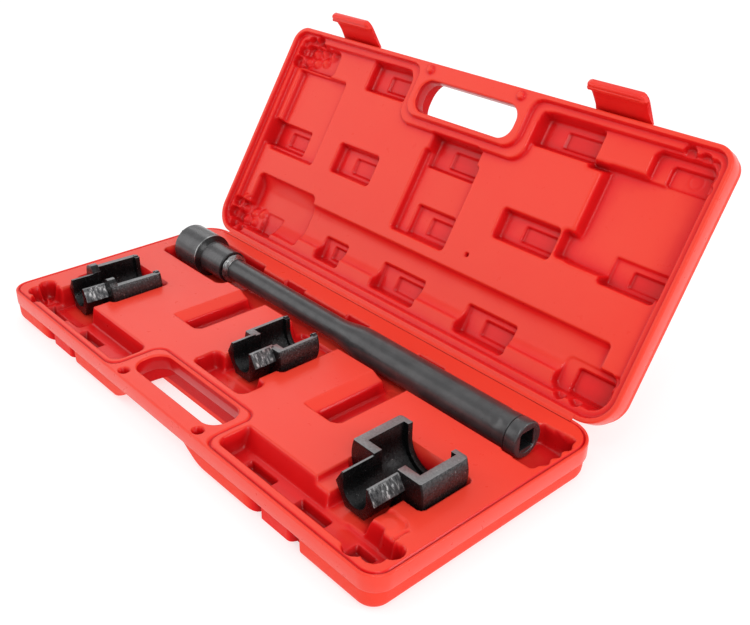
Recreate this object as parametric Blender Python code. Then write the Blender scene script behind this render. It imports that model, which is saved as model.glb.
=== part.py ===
"""Inner tie rod tool set in a hinged, double-wall moulded case, lid open.

Shapes are laid out in case millimetres: x along the hinge from the left end, y from the front edge to the hinge,
z up from the rim of the case's lower half.  The lid is drawn shut, above the rim, and turned open on its hinge line.
World frame: metres, +Z up, origin under the middle of the lower half, on the surface it stands on.
"""
import math

import bmesh
import bpy
from mathutils import Matrix, Vector

MM = 0.001

# ---------------------------------------------------------------- driving dimensions, millimetres and degrees
CASE_L = 460.0            # length along the hinge
CASE_W = 206.0            # front to hinge
BASE_H = 28.0             # depth of the lower half under its rim
LID_H = 26.0              # depth of the lid above its rim
R_FRONT = 15.0            # corner radius at the front
R_REAR = 24.0             # corner radius at the hinge
BAND_H = 12.8             # height of the smooth band at the rim
LOWER_INSET = 4.0         # how far the walls stand back from the band
PLATEAU = 3.0             # inner face of the lower half above its rim
BASE_STEP = 4.6           # rim lip of the lower half
LID_STEP = 3.8            # rim lip of the lid
LID_LEDGE = 5.0           # ledge depth in the lid
LID_LEDGE_W = 10.0        # where the lid's second step stands
LID_PLATEAU = 9.5         # inner face of the lid
RIM_GAP = 0.4             # between the shut rims
WALL = 2.4                # skin of the hollow halves
HINGE_Y, HINGE_Z = CASE_W, 0.2
LID_OPEN = 122.0
HANDLE = (177.0, 283.0, 14.0, 42.0)        # hand hole x0, x1, y0, y1
HANDLE_ZONE = (167.0, 293.0, 47.0)         # plateau stays clear of x0..x1 up to y
LATCH_X = ((58.5, 105.5), (341.0, 388.0))
LATCH_RECESS = ((55.5, 108.5), (338.0, 391.0))
LATCH_Y, LATCH_Z = -1.6, 10.0              # latch hinge line on the shut lid
LATCH_LEN = 29.6
LATCH_T = 2.5
LATCH_OPEN = 27.0
PIN_X = (181.0, 279.0)                     # locating pins beside the handle
PIN_Y = 6.4

TOOL_Y, TOOL_Z = 164.7, -0.8               # axis of the tube tool
BELL_D, STEP_D, TUBE_D, LARGE_D, END_D = 38.1, 28.6, 19.05, 26.7, 27.4
BELL_X0, BELL_X1, STEP_X1, TAPER_X0, TAPER_X1, END_X0, END_X1 = 25.0, 59.0, 91.0, 235.0, 268.0, 419.0, 429.0
HEX_AF = 30.3                              # adapter tails across flats
TAIL_TOP = 9.8                             # flat tops of the tails' prongs above their axis
SQUARE = 12.7                              # drive square

RED = (0.72, 0.035, 0.03, 1.0)
BLACK = (0.02, 0.02, 0.022, 1.0)
STEEL = (0.05, 0.05, 0.055, 1.0)

for old in list(bpy.data.objects):
    bpy.data.objects.remove(old, do_unlink=True)

PARTS = bpy.data.collections.new("tie_rod_tool_set")
CUTS = bpy.data.collections.new("cutters")
for coll in (PARTS, CUTS):
    bpy.context.scene.collection.children.link(coll)


# ---------------------------------------------------------------- small modelling helpers
def fillet(corners, seg=3):
    """Round the corners of a closed outline; each corner is (x, y, radius)."""
    out = []
    n = len(corners)
    for i in range(n):
        p = Vector(corners[i][:2])
        a = Vector(corners[i - 1][:2]) - p
        b = Vector(corners[(i + 1) % n][:2]) - p
        r = corners[i][2]
        if r <= 0.0:
            out.append((p.x, p.y))
            continue
        a.normalize()
        b.normalize()
        half = a.angle(b) / 2.0
        centre = p + (a + b).normalized() * (r / math.sin(half))
        start = p + a * (r / math.tan(half)) - centre
        turn = math.pi - 2.0 * half
        if a.cross(b) > 0.0:
            turn = -turn
        for k in range(seg + 1):
            t = turn * k / seg
            out.append((centre.x + start.x * math.cos(t) - start.y * math.sin(t),
                        centre.y + start.x * math.sin(t) + start.y * math.cos(t)))
    return out


def rrect(x0, x1, y0, y1, r, seg=3, r_rear=None):
    rr = r if r_rear is None else r_rear
    return fillet([(x0, y0, r), (x1, y0, r), (x1, y1, rr), (x0, y1, rr)], seg)


def loft(loops, place=None):
    """Closed body through stacked outlines [(points, z), ...] with the same number of points."""
    bm = bmesh.new()
    rings = []
    for pts, z in loops:
        rings.append([bm.verts.new((x, y, z)) for x, y in pts])
    bm.faces.new(list(reversed(rings[0])))
    bm.faces.new(rings[-1])
    n = len(rings[0])
    for lo, hi in zip(rings[:-1], rings[1:]):
        for i in range(n):
            bm.faces.new((lo[i], lo[(i + 1) % n], hi[(i + 1) % n], hi[i]))
    if place is not None:
        bmesh.ops.transform(bm, matrix=place, verts=bm.verts)
    bmesh.ops.recalc_face_normals(bm, faces=bm.faces)
    return bm


def pocket(x0, x1, y0, y1, z_top, z_floor, r, draft=1.2, seg=3, grow=0.0):
    """Pocket cutter between a mouth and a floor, with drafted walls; grow thickens it all round."""
    up = 1.0 if z_top > z_floor else -1.0
    g = grow
    r0 = max(r + g, 0.3)
    r1 = max(r - draft + g, 0.3)
    return loft([(rrect(x0 + draft - g, x1 - draft + g, y0 + draft - g, y1 - draft + g, r1, seg), z_floor - up * g),
                 (rrect(x0 - g, x1 + g, y0 - g, y1 + g, r0, seg), z_top)])


def turned(profile, steps, x_axis_at):
    """Turned body about an axis along X; the profile is [(x, radius), ...], closed on itself when it has a bore."""
    bm = bmesh.new()
    y, z = x_axis_at
    rings = []
    for i in range(steps):
        a = 2.0 * math.pi * (i + 0.5) / steps
        rings.append([bm.verts.new((x, y + r * math.sin(a), z + r * math.cos(a))) for x, r in profile])
    m = len(profile)
    for i in range(steps):
        here, there = rings[i], rings[(i + 1) % steps]
        for k in range(m):
            bm.faces.new((here[k], here[(k + 1) % m], there[(k + 1) % m], there[k]))
    bmesh.ops.recalc_face_normals(bm, faces=bm.faces)
    return bm


def obj_from(bm, name, coll):
    me = bpy.data.meshes.new(name)
    bm.to_mesh(me)
    bm.free()
    ob = bpy.data.objects.new(name, me)
    coll.objects.link(ob)
    return ob


def cut(body, bm, op="DIFFERENCE"):
    """Boolean one cutter mesh into a body and drop the cutter."""
    tool = obj_from(bm, "cutter", CUTS)
    tool.hide_render = True
    tool.display_type = "WIRE"
    mod = body.modifiers.new("cut", "BOOLEAN")
    mod.operation = op
    mod.object = tool
    mod.solver = "EXACT"
    deps = bpy.context.evaluated_depsgraph_get()
    fresh = bpy.data.meshes.new_from_object(body.evaluated_get(deps))
    body.modifiers.clear()
    old = body.data
    body.data = fresh
    bpy.data.meshes.remove(old)
    bpy.data.objects.remove(tool, do_unlink=True)
    return body


def biggest_piece(ob):
    """Keep only the largest connected piece of a mesh."""
    bm = bmesh.new()
    bm.from_mesh(ob.data)
    left = set(bm.verts)
    groups = []
    while left:
        stack = [left.pop()]
        group = set(stack)
        while stack:
            v = stack.pop()
            for e in v.link_edges:
                w = e.other_vert(v)
                if w not in group:
                    group.add(w)
                    stack.append(w)
        left -= group
        groups.append(group)
    groups.sort(key=lambda g: sum(f.calc_area() for f in {f for v in g for f in v.link_faces}))
    for g in groups[:-1]:
        bmesh.ops.delete(bm, geom=list(g), context="VERTS")
    bm.to_mesh(ob.data)
    bm.free()
    return ob


def take_mesh(ob):
    bm = bmesh.new()
    bm.from_mesh(ob.data)
    old = ob.data
    bpy.data.objects.remove(ob, do_unlink=True)
    bpy.data.meshes.remove(old)
    return bm


MATERIALS = {}


def material(name, colour, rough, metal):
    if name not in MATERIALS:
        mat = bpy.data.materials.new(name)
        mat.use_nodes = True
        bsdf = mat.node_tree.nodes["Principled BSDF"]
        bsdf.inputs["Base Color"].default_value = colour
        bsdf.inputs["Roughness"].default_value = rough
        bsdf.inputs["Metallic"].default_value = metal
        mat.diffuse_color = colour
        MATERIALS[name] = mat
    return MATERIALS[name]


def world(x, y, z):
    return Vector(((x - CASE_L / 2) * MM, (y - CASE_W / 2) * MM, (z + BASE_H) * MM))


def finish(ob, mat, origin, parent=None, parent_origin=None, turn_x=0.0, smooth=35.0):
    """Mesh from case millimetres to metres about its own origin, then place it."""
    me = ob.data
    shift = Vector(origin)
    bm = bmesh.new()
    bm.from_mesh(me)
    bmesh.ops.remove_doubles(bm, verts=bm.verts, dist=0.002)
    bmesh.ops.dissolve_degenerate(bm, edges=bm.edges, dist=0.002)
    for v in bm.verts:
        v.co = (v.co - shift) * MM
    bm.to_mesh(me)
    bm.free()
    me.materials.clear()
    me.materials.append(mat)
    me.shade_smooth()
    me.set_sharp_from_angle(angle=math.radians(smooth))
    if parent is None:
        ob.location = world(*origin)
    else:
        ob.parent = parent
        ob.location = (shift - Vector(parent_origin)) * MM
    ob.rotation_euler = (math.radians(turn_x), 0.0, 0.0)
    return ob


# ---------------------------------------------------------------- outlines shared by both halves
def outline(inset, front=None, seg=4):
    y0 = inset if front is None else front
    return rrect(inset, CASE_L - inset, y0, CASE_W - inset, max(R_FRONT - inset, 2.0), seg, max(R_REAR - inset, 2.0))


def inner_outline(inset, x0, x1, y_top, r_in, seg=3):
    """Inside outline that goes round the hand-hole zone."""
    rf, rr = max(R_FRONT - inset, 2.0), max(R_REAR - inset, 2.0)
    L, W, i = CASE_L, CASE_W, inset
    return fillet([(i, i, rf), (x0, i, r_in), (x0, y_top, r_in), (x1, y_top, r_in), (x1, i, r_in),
                   (L - i, i, rf), (L - i, W - i, rr), (i, W - i, rr)], seg)


# ---------------------------------------------------------------- lower half of the case
# x0, x1, y0, y1, floor z, corner radius, draft
BASE_POCKETS = (
    (30.0, 165.0, 6.8, 32.0, -15.0, 8.0, 2.0),       # front trough, left
    (13.0, 62.0, 8.2, 30.5, -14.6, 9.0, 2.0),        # its lobed corner
    (57.0, 91.0, 9.2, 21.0, -21.0, 2.5, 1.0),        # wall tacks in the trough floor
    (112.0, 144.0, 9.2, 21.0, -21.1, 2.5, 1.0),
    (21.0, 83.0, 51.0, 104.0, -25.2, 5.0, 0.6),      # small adapter: jaw, tail
    (31.0, 79.0, 22.0, 54.0, -17.4, 5.0, 1.0),
    (127.0, 166.5, 78.5, 152.0, -12.0, 8.0, 2.5),    # finger slot
    (202.0, 259.0, 90.5, 150.0, -18.6, 5.0, 1.0),    # medium adapter: jaw, tail, finger room
    (211.0, 254.0, 60.0, 93.0, -12.6, 5.0, 1.0),
    (200.0, 264.0, 51.5, 75.0, -13.4, 6.0, 2.0),
    (295.5, 335.0, 79.0, 152.4, -12.1, 8.0, 2.5),    # finger slot
    (296.0, 432.0, 8.8, 36.0, -15.1, 8.0, 2.0),      # front trough, right
    (426.0, 453.0, 7.6, 33.0, -14.7, 9.0, 2.0),
    (329.0, 362.0, 11.0, 21.4, -21.2, 2.5, 1.0),
    (380.0, 412.0, 11.2, 21.6, -21.3, 2.5, 1.0),
    (364.0, 438.0, 46.2, 105.4, -25.8, 5.0, 0.6),    # large adapter: jaw, tail
    (374.0, 429.0, 25.0, 49.0, -12.8, 5.0, 1.0),
    (18.0, 112.0, 136.2, 188.4, -20.3, 8.0, 1.5),    # bell
    (105.0, 428.0, 145.0, 183.0, -14.6, 4.0, 1.0),   # tube
    (420.0, 452.5, 143.0, 188.0, -14.9, 8.0, 2.0),   # drive end
    (141.0, 169.0, 178.0, 186.2, -8.0, 2.0, 0.8),    # rear notches
    (222.0, 250.0, 178.0, 186.3, -8.1, 2.0, 0.8),
    (304.0, 333.0, 178.0, 186.4, -8.2, 2.0, 0.8),
)


def base_ramp(grow):
    """Sloped rear bank of the left front trough."""
    g = grow
    return loft([(rrect(84.0 - g, 150.0 + g, 24.0 - g, 33.0 + g, 3.0 + g), -8.0 - g),
                 (rrect(75.0 - g, 160.0 + g, 20.0 - g, 45.5 + g, 5.0 + g), PLATEAU + 1.0)])


def base_outer(inset, top, plateau_top):
    low, g = LOWER_INSET, inset
    body = obj_from(loft([
        (outline(low + 2.4 + g, 3.2 + g), -BASE_H + g),
        (outline(low + 0.5 + g, 1.4 + g), -BASE_H + 1.6 + g),
        (outline(low + g, 0.8 + g), -BASE_H + 4.5 + g * 0.5),
        (outline(low + g, 0.8 + g), -BAND_H - 0.8 + g),
        (outline(g), -BAND_H + g),
        (outline(g), -1.2),
        (outline(1.2 + g), top),
    ]), "case_base", PARTS)
    zone = HANDLE_ZONE
    raised = loft([(inner_outline(BASE_STEP + g, zone[0] - g, zone[1] + g, zone[2] + g, 7.0), -6.0),
                   (inner_outline(BASE_STEP + g, zone[0] - g, zone[1] + g, zone[2] + g, 7.0), plateau_top - 0.8),
                   (inner_outline(BASE_STEP + 0.8 + g, zone[0] - 0.8 - g, zone[1] + 0.8 + g, zone[2] + 0.8 + g, 7.0),
                    plateau_top)])
    return cut(body, raised, "UNION")


def base_cuts(body, grow):
    g = grow
    for x0, x1, y0, y1, floor, r, draft in BASE_POCKETS:
        cut(body, pocket(x0, x1, y0, y1, PLATEAU + 1.0, floor, r, draft, 3, g))
    cut(body, base_ramp(g))
    for x0, x1 in LATCH_RECESS:
        cut(body, loft([(rrect(x0 - g, x1 + g, -8.0, 4.8 + g, 1.0), -BASE_H - 2.0),
                        (rrect(x0 - g, x1 + g, -8.0, 4.8 + g, 1.0), -BAND_H + g)]))
    hx0, hx1, hy0, hy1 = HANDLE
    cut(body, loft([(rrect(hx0 - 5.0 - g, hx1 + 5.0 + g, -8.0, hy1 + 1.5 + g, 7.0), -BASE_H - 2.0),
                    (rrect(hx0 - 5.0 - g, hx1 + 5.0 + g, -8.0, hy1 + 1.5 + g, 7.0), -BAND_H + g)]))
    cut(body, loft([(rrect(hx0 - g, hx1 + g, hy0 - g, hy1 + g, 12.0), -BASE_H - 3.0),
                    (rrect(hx0 - g, hx1 + g, hy0 - g, hy1 + g, 12.0), PLATEAU + 2.0)]))
    for px in PIN_X:
        cut(body, loft([(rrect(px - 4.2 - g, px + 4.2 + g, PIN_Y - 4.2 - g, PIN_Y + 4.2 + g, 4.19 + g), -6.0 - g),
                        (rrect(px - 4.2 - g, px + 4.2 + g, PIN_Y - 4.2 - g, PIN_Y + 4.2 + g, 4.19 + g), 2.0)]))
    return body


def rod(x0, x1, y, z, r, steps=8):
    """Solid rod along X."""
    a = [2.0 * math.pi * (k + 0.5) / steps for k in range(steps)]
    pts = [(r * math.cos(t), r * math.sin(t)) for t in a]
    turn = Matrix(((0, 0, 1, 0), (1, 0, 0, y), (0, 1, 0, z), (0, 0, 0, 1)))
    return loft([(pts, x0), (pts, x1)], turn)


red = material("red_moulded_plastic", RED, 0.42, 0.0)
base = base_cuts(base_outer(0.0, 0.0, PLATEAU), 0.0)
hollow = biggest_piece(base_cuts(base_outer(WALL, -WALL, PLATEAU - WALL), WALL))
cut(base, take_mesh(hollow))
blow = [(2.6 * math.cos(math.pi * (k + 0.5) / 4.0), 2.6 * math.sin(math.pi * (k + 0.5) / 4.0)) for k in range(8)]
cut(base, loft([(blow, CASE_W - 12.0), (blow, CASE_W + 3.0)],         # blow hole in the back, into the hollow
               Matrix(((1, 0, 0, 124.0), (0, 0, 1, 0), (0, 1, 0, -19.0), (0, 0, 0, 1)))))
finish(base, red, (CASE_L / 2, CASE_W / 2, -BASE_H))

# ---------------------------------------------------------------- lid, drawn shut
# x0, x1, y0, y1, ceiling z, corner radius, draft
LID_POCKETS = (
    (18.0, 84.0, 34.0, 118.0, 15.6, 6.0, 1.5),       # over the small adapter
    (200.0, 264.0, 66.0, 142.0, 16.6, 6.0, 1.5),     # over the medium adapter
    (357.0, 449.0, 33.0, 111.0, 19.6, 6.0, 1.5),     # over the large adapter
    (19.5, 108.0, 140.6, 190.8, 20.6, 8.0, 1.5),     # over the bell
    (100.0, 434.0, 148.0, 190.0, 15.7, 6.0, 1.5),    # over the tube
    (107.0, 158.5, 9.8, 37.5, 19.5, 3.0, 1.0),       # square pockets
    (11.0, 62.5, 88.0, 115.0, 19.4, 3.0, 1.0),
    (107.0, 159.0, 87.5, 116.0, 19.3, 3.0, 1.0),
    (204.5, 259.5, 52.5, 82.0, 19.2, 3.0, 1.0),
    (213.5, 259.0, 109.5, 139.0, 19.1, 3.0, 1.0),
    (300.5, 356.5, 88.0, 114.0, 19.4, 3.0, 1.0),
    (299.5, 357.0, 11.0, 37.5, 19.3, 3.0, 1.0),
    (399.0, 446.5, 89.5, 115.0, 22.0, 3.0, 1.0),
    (131.0, 164.0, 167.5, 192.0, 19.2, 3.0, 1.0),
    (205.5, 258.0, 165.5, 192.2, 19.1, 3.0, 1.0),
    (302.5, 355.0, 165.6, 192.4, 19.0, 3.0, 1.0),
    (11.0, 64.0, 10.4, 39.0, 17.1, 8.0, 2.0),        # lobed corners
    (393.0, 449.5, 10.6, 40.0, 17.2, 8.0, 2.0),
    (10.8, 71.0, 166.5, 195.0, 17.3, 8.0, 2.0),
    (400.5, 449.2, 162.5, 195.2, 17.4, 8.0, 2.0),
)
LID_ZONE1 = (169.0, 291.0, 45.0)
LID_ZONE2 = (161.0, 299.0, 53.0)


def lid_outer(inset, bottom):
    low, g = LOWER_INSET, inset
    return obj_from(loft([
        (outline(1.2 + g), bottom),
        (outline(g), RIM_GAP + 1.2),
        (outline(g), BAND_H - g),
        (outline(low + g, 0.8 + g), BAND_H + 0.8 - g),
        (outline(low + g, 0.8 + g), LID_H - 4.5 - g * 0.5),
        (outline(low + 0.5 + g, 1.4 + g), LID_H - 1.6 - g),
        (outline(low + 2.4 + g, 3.2 + g), LID_H - g),
    ]), "case_lid", PARTS)


def lid_cuts(body, grow):
    g = grow
    z1, z2 = LID_ZONE1, LID_ZONE2
    below = RIM_GAP - 2.0
    cut(body, loft([(inner_outline(LID_STEP - g, z1[0] + g, z1[1] - g, z1[2] - g, 6.0), below),
                    (inner_outline(LID_STEP - g, z1[0] + g, z1[1] - g, z1[2] - g, 6.0), LID_LEDGE + g)]))
    cut(body, loft([(inner_outline(LID_LEDGE_W - g, z2[0] + g, z2[1] - g, z2[2] - g, 7.0), below - 0.2),
                    (inner_outline(LID_LEDGE_W - g, z2[0] + g, z2[1] - g, z2[2] - g, 7.0), LID_PLATEAU + g)]))
    for x0, x1, y0, y1, ceiling, r, draft in LID_POCKETS:
        cut(body, pocket(x0, x1, y0, y1, LID_PLATEAU - 1.0, ceiling, r, draft, 3, g))
    hx0, hx1, hy0, hy1 = HANDLE
    cut(body, loft([(rrect(hx0 - g, hx1 + g, hy0 - g, hy1 + g, 12.0), -3.0),
                    (rrect(hx0 - g, hx1 + g, hy0 - g, hy1 + g, 12.0), LID_H + 3.0)]))
    cut(body, loft([(rrect(hx0 - 5.0 - g, hx1 + 5.0 + g, -8.0, hy1 + 1.5 + g, 7.0), BAND_H - g),
                    (rrect(hx0 - 5.0 - g, hx1 + 5.0 + g, -8.0, hy1 + 1.5 + g, 7.0), LID_H + 2.0)]))
    return body


lid = lid_cuts(lid_outer(0.0, RIM_GAP), 0.0)
hollow = biggest_piece(lid_cuts(lid_outer(WALL, RIM_GAP + WALL), WALL))
cut(lid, take_mesh(hollow))
for px in PIN_X:                                                      # locating pins
    cut(lid, loft([(rrect(px - 3.0, px + 3.0, PIN_Y - 3.0, PIN_Y + 3.0, 2.99), -3.4),
                   (rrect(px - 3.5, px + 3.5, PIN_Y - 3.5, PIN_Y + 3.5, 3.49), RIM_GAP + 1.0)]), "UNION")
for x0, x1 in LATCH_X:                                                # ledges that carry the latch webs
    cut(lid, loft([(rrect(x0, x1, LATCH_Y - 0.4, 1.5, 0.3, 1), LATCH_Z + 0.95),
                   (rrect(x0, x1, LATCH_Y - 0.4, 1.5, 0.3, 1), LATCH_Z + 3.2)]), "UNION")
cut(lid, loft([(rrect(285.0, 289.0, 132.0, 136.0, 1.99), LID_PLATEAU - 2.0),   # blow hole into the hollow
               (rrect(285.0, 289.0, 132.0, 136.0, 1.99), LID_PLATEAU + 6.0)]))
lid_origin = (CASE_L / 2, HINGE_Y, HINGE_Z)
finish(lid, red, lid_origin, turn_x=-LID_OPEN)

web = obj_from(rod(26.0, 434.0, HINGE_Y, HINGE_Z, 0.6), "lid_hinge_web", PARTS)
finish(web, red, (CASE_L / 2, HINGE_Y, HINGE_Z))

# ---------------------------------------------------------------- latches, drawn hooked shut
for side, (x0, x1) in zip(("left", "right"), LATCH_X):
    mid = (x0 + x1) / 2.0
    tip = LATCH_Z - LATCH_LEN
    y_in, y_out = LATCH_Y + LATCH_T / 2, LATCH_Y - LATCH_T / 2
    side_view = fillet([(y_in, LATCH_Z - 2.2, 0.0), (y_in, -BAND_H - 0.5, 0.0), (y_in + 3.6, -BAND_H - 0.9, 0.0),
                        (y_in + 3.6, tip + 2.2, 0.0), (y_in, tip, 0.0), (y_out, tip, 0.8),
                        (y_out, LATCH_Z - 2.2, 0.8)], 2)
    n = len(side_view)
    bm = bmesh.new()
    rings = []
    for s in (-1.0, 1.0):
        ring = []
        for y, z in side_view:
            flare = 23.5 + 1.4 * min(1.0, (LATCH_Z - z) / LATCH_LEN)
            ring.append(bm.verts.new((mid + s * flare, y, z)))
        rings.append(ring)
    bm.faces.new(rings[0])
    bm.faces.new(list(reversed(rings[1])))
    for i in range(n):
        bm.faces.new((rings[0][i], rings[0][(i + 1) % n], rings[1][(i + 1) % n], rings[1][i]))
    bmesh.ops.recalc_face_normals(bm, faces=bm.faces)
    latch = obj_from(bm, "latch_" + side, PARTS)
    finish(latch, red, (mid, LATCH_Y, LATCH_Z), lid, lid_origin, -LATCH_OPEN)
    lweb = obj_from(rod(x0 + 0.5, x1 - 0.5, LATCH_Y, LATCH_Z, 0.6), "latch_web_" + side, PARTS)
    finish(lweb, red, (mid, LATCH_Y, LATCH_Z), lid, lid_origin)

# ---------------------------------------------------------------- tube tool
steel = material("black_oxide_steel", STEEL, 0.38, 0.9)
axis = (TOOL_Y, TOOL_Z)
tube = obj_from(turned([
    (66.0, TUBE_D / 2), (TAPER_X0, TUBE_D / 2), (TAPER_X0 + 8.0, TUBE_D / 2 + 0.5), (TAPER_X1 - 8.0, LARGE_D / 2 - 0.5),
    (TAPER_X1, LARGE_D / 2), (END_X0 - 0.3, LARGE_D / 2), (END_X0 - 0.3, LARGE_D / 2 - 2.6),
    (TAPER_X1, LARGE_D / 2 - 2.6), (TAPER_X0, TUBE_D / 2 - 2.0), (66.0, TUBE_D / 2 - 2.0)], 32, axis), "tool_tube", PARTS)
finish(tube, steel, (245.0, TOOL_Y, TOOL_Z))

bell = obj_from(turned([
    (BELL_X0, BELL_D / 2 - 0.8), (BELL_X0 + 0.8, BELL_D / 2), (BELL_X1 - 1.5, BELL_D / 2), (BELL_X1, BELL_D / 2 - 1.5),
    (BELL_X1 + 3.2, STEP_D / 2), (STEP_X1 - 1.2, STEP_D / 2), (STEP_X1, STEP_D / 2 - 1.2),
    (STEP_X1, TUBE_D / 2 + 0.3), (57.0, TUBE_D / 2 + 0.3), (54.0, 12.5), (BELL_X0, 12.5)], 32, axis), "tool_bell", PARTS)
hexagon = [(HEX_AF / 2 + 0.35) / math.cos(math.pi / 6)]
hex_pts = [(hexagon[0] * math.cos(math.pi / 3 * k), hexagon[0] * math.sin(math.pi / 3 * k)) for k in range(6)]
along_x = Matrix(((0, 0, 1, 0), (1, 0, 0, TOOL_Y), (0, 1, 0, TOOL_Z), (0, 0, 0, 1)))
cut(bell, loft([(hex_pts, BELL_X0 - 2.0), (hex_pts, BELL_X1 - 7.0)], along_x))
finish(bell, steel, (BELL_X0, TOOL_Y, TOOL_Z))

bead = obj_from(turned([
    (STEP_X1 + 0.3, TUBE_D / 2 + 3.2), (STEP_X1 + 2.2, TUBE_D / 2 + 2.9), (STEP_X1 + 4.4, TUBE_D / 2 + 1.6),
    (STEP_X1 + 5.6, TUBE_D / 2 + 0.3), (STEP_X1 + 0.3, TUBE_D / 2 + 0.3)], 32, axis), "tool_weld_ring", PARTS)
finish(bead, steel, (STEP_X1, TOOL_Y, TOOL_Z))

plug_r = LARGE_D / 2 - 2.9
drive = obj_from(turned([
    (396.0, plug_r - 1.0), (397.0, plug_r), (END_X0 + 0.0, plug_r), (END_X0 + 0.0, END_D / 2 - 0.4),
    (END_X0 + 0.4, END_D / 2), (END_X1 - 1.2, END_D / 2), (END_X1, END_D / 2 - 1.2), (END_X1, 5.0), (396.0, 5.0)],
    32, axis), "tool_drive_socket", PARTS)
sq = SQUARE / 2 + 0.1
cut(drive, loft([(rrect(-sq, sq, -sq, sq, 0.6, 1), 405.0), (rrect(-sq, sq, -sq, sq, 0.6, 1), END_X1 + 2.0)], along_x))
finish(drive, steel, (END_X1, TOOL_Y, TOOL_Z))


# ---------------------------------------------------------------- crowfoot adapters
def u_shape(r, z_axis, z_top, seg=16):
    """U outline in x, z: half round below the axis, straight sides up to z_top."""
    pts = [(-r * math.cos(math.pi * k / seg), z_axis - r * math.sin(math.pi * k / seg)) for k in range(seg + 1)]
    return pts + [(r, z_top), (-r, z_top)]


def barrel(r, z_axis, z_top, z_low, seg=24):
    """Round outline in x, z, cut flat at z_top and at z_low."""
    rise = math.asin((z_top - z_axis) / r)
    turn = [math.pi - rise + (math.pi + 2.0 * rise) * k / seg for k in range(seg + 1)]
    return [(r * math.cos(t), max(z_axis + r * math.sin(t), z_low)) for t in turn]


def along_y(points, x, y0, y1):
    """Prism of an x, z outline standing from y0 to y1."""
    return loft([(points, y0), (points, y1)], Matrix(((1, 0, 0, x), (0, 0, 1, 0), (0, 1, 0, 0), (0, 0, 0, 1))))


def adapter(name, x, z_axis, tail, shoulder, pocket_end, far, r_out, r_in, r_lip, bore, arm_top, lug, z_low, yaw):
    """Hexagonal tail and open jaw with a lip round its far end; lug is the height of round ears on the shoulder."""
    body = obj_from(along_y(barrel(r_out, z_axis, arm_top, z_low), x, shoulder, far), name, PARTS)
    hr = HEX_AF / 2 / math.cos(math.pi / 6)
    side = hr - TAIL_TOP / math.sqrt(3.0)
    hexa = [(hr, z_axis), (side, z_axis + TAIL_TOP), (-side, z_axis + TAIL_TOP), (-hr, z_axis),
            (-hr / 2, z_axis - HEX_AF / 2), (hr / 2, z_axis - HEX_AF / 2)]
    cut(body, along_y(hexa, x, tail, shoulder + 2.0), "UNION")
    wall = shoulder + 6.5
    if lug > arm_top:
        half = (math.sqrt(r_out ** 2 - (arm_top - z_axis) ** 2) - bore) / 2.0
        for way in (-1.0, 1.0):
            mid = way * (bore + half)
            ear = [(mid + half * math.cos(math.pi * k / 10), lug - half + half * math.sin(math.pi * k / 10)) for k in range(11)]
            ear += [(mid - half, z_axis), (mid + half, z_axis)]
            cut(body, along_y(ear, x, shoulder, wall), "UNION")
    cut(body, along_y(u_shape(r_in, z_axis, lug + 9.0), x, wall, pocket_end))
    cut(body, along_y(u_shape(r_lip, z_axis, lug + 9.5), x, pocket_end - 1.0, far + 3.0))
    cut(body, along_y(u_shape(bore, z_axis, lug + 10.0), x, tail - 3.0, wall + 1.0))
    mid = (tail + far) / 2.0
    finish(body, material("black_cast_steel", BLACK, 0.5, 0.6), (x, mid, z_axis))
    body.rotation_euler = (0.0, 0.0, math.radians(yaw))
    return body


adapter("adapter_small", 53.4, -0.6, 36.6, 55.5, 97.5, 101.5, 26.0, 19.3, 16.0, 9.8, 10.0, 14.8, -24.9, -3.0)
adapter("adapter_medium", 232.4, 5.4, 74.5, 93.0, 127.0, 131.0, 22.5, 18.0, 14.8, 9.8, 14.0, 14.0, -18.0, 0.0)
adapter("adapter_large", 401.2, 5.5, 37.5, 62.5, 100.0, 104.0, 32.4, 23.2, 19.0, 10.3, 17.0, 17.0, -25.5, 0.0)

bpy.context.scene.collection.children.unlink(CUTS)
bpy.data.collections.remove(CUTS)
bpy.context.view_layer.update()
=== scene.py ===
import math

import bmesh
import bpy
import numpy as np
from mathutils import Matrix, Vector


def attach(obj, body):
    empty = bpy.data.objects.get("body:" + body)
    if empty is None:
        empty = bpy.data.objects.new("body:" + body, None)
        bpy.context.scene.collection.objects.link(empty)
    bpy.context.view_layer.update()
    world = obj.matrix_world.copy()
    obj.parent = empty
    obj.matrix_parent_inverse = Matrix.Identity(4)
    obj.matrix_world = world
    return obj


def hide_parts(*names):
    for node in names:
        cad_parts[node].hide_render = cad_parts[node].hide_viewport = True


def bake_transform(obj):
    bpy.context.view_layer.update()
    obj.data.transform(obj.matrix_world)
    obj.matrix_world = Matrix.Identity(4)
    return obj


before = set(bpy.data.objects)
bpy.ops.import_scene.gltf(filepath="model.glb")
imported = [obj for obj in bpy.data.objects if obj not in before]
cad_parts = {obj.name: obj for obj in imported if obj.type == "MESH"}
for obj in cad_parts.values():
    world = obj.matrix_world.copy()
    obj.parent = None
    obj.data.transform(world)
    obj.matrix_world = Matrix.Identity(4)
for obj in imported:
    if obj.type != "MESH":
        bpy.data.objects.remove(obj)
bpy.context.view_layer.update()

MM = 0.001

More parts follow.
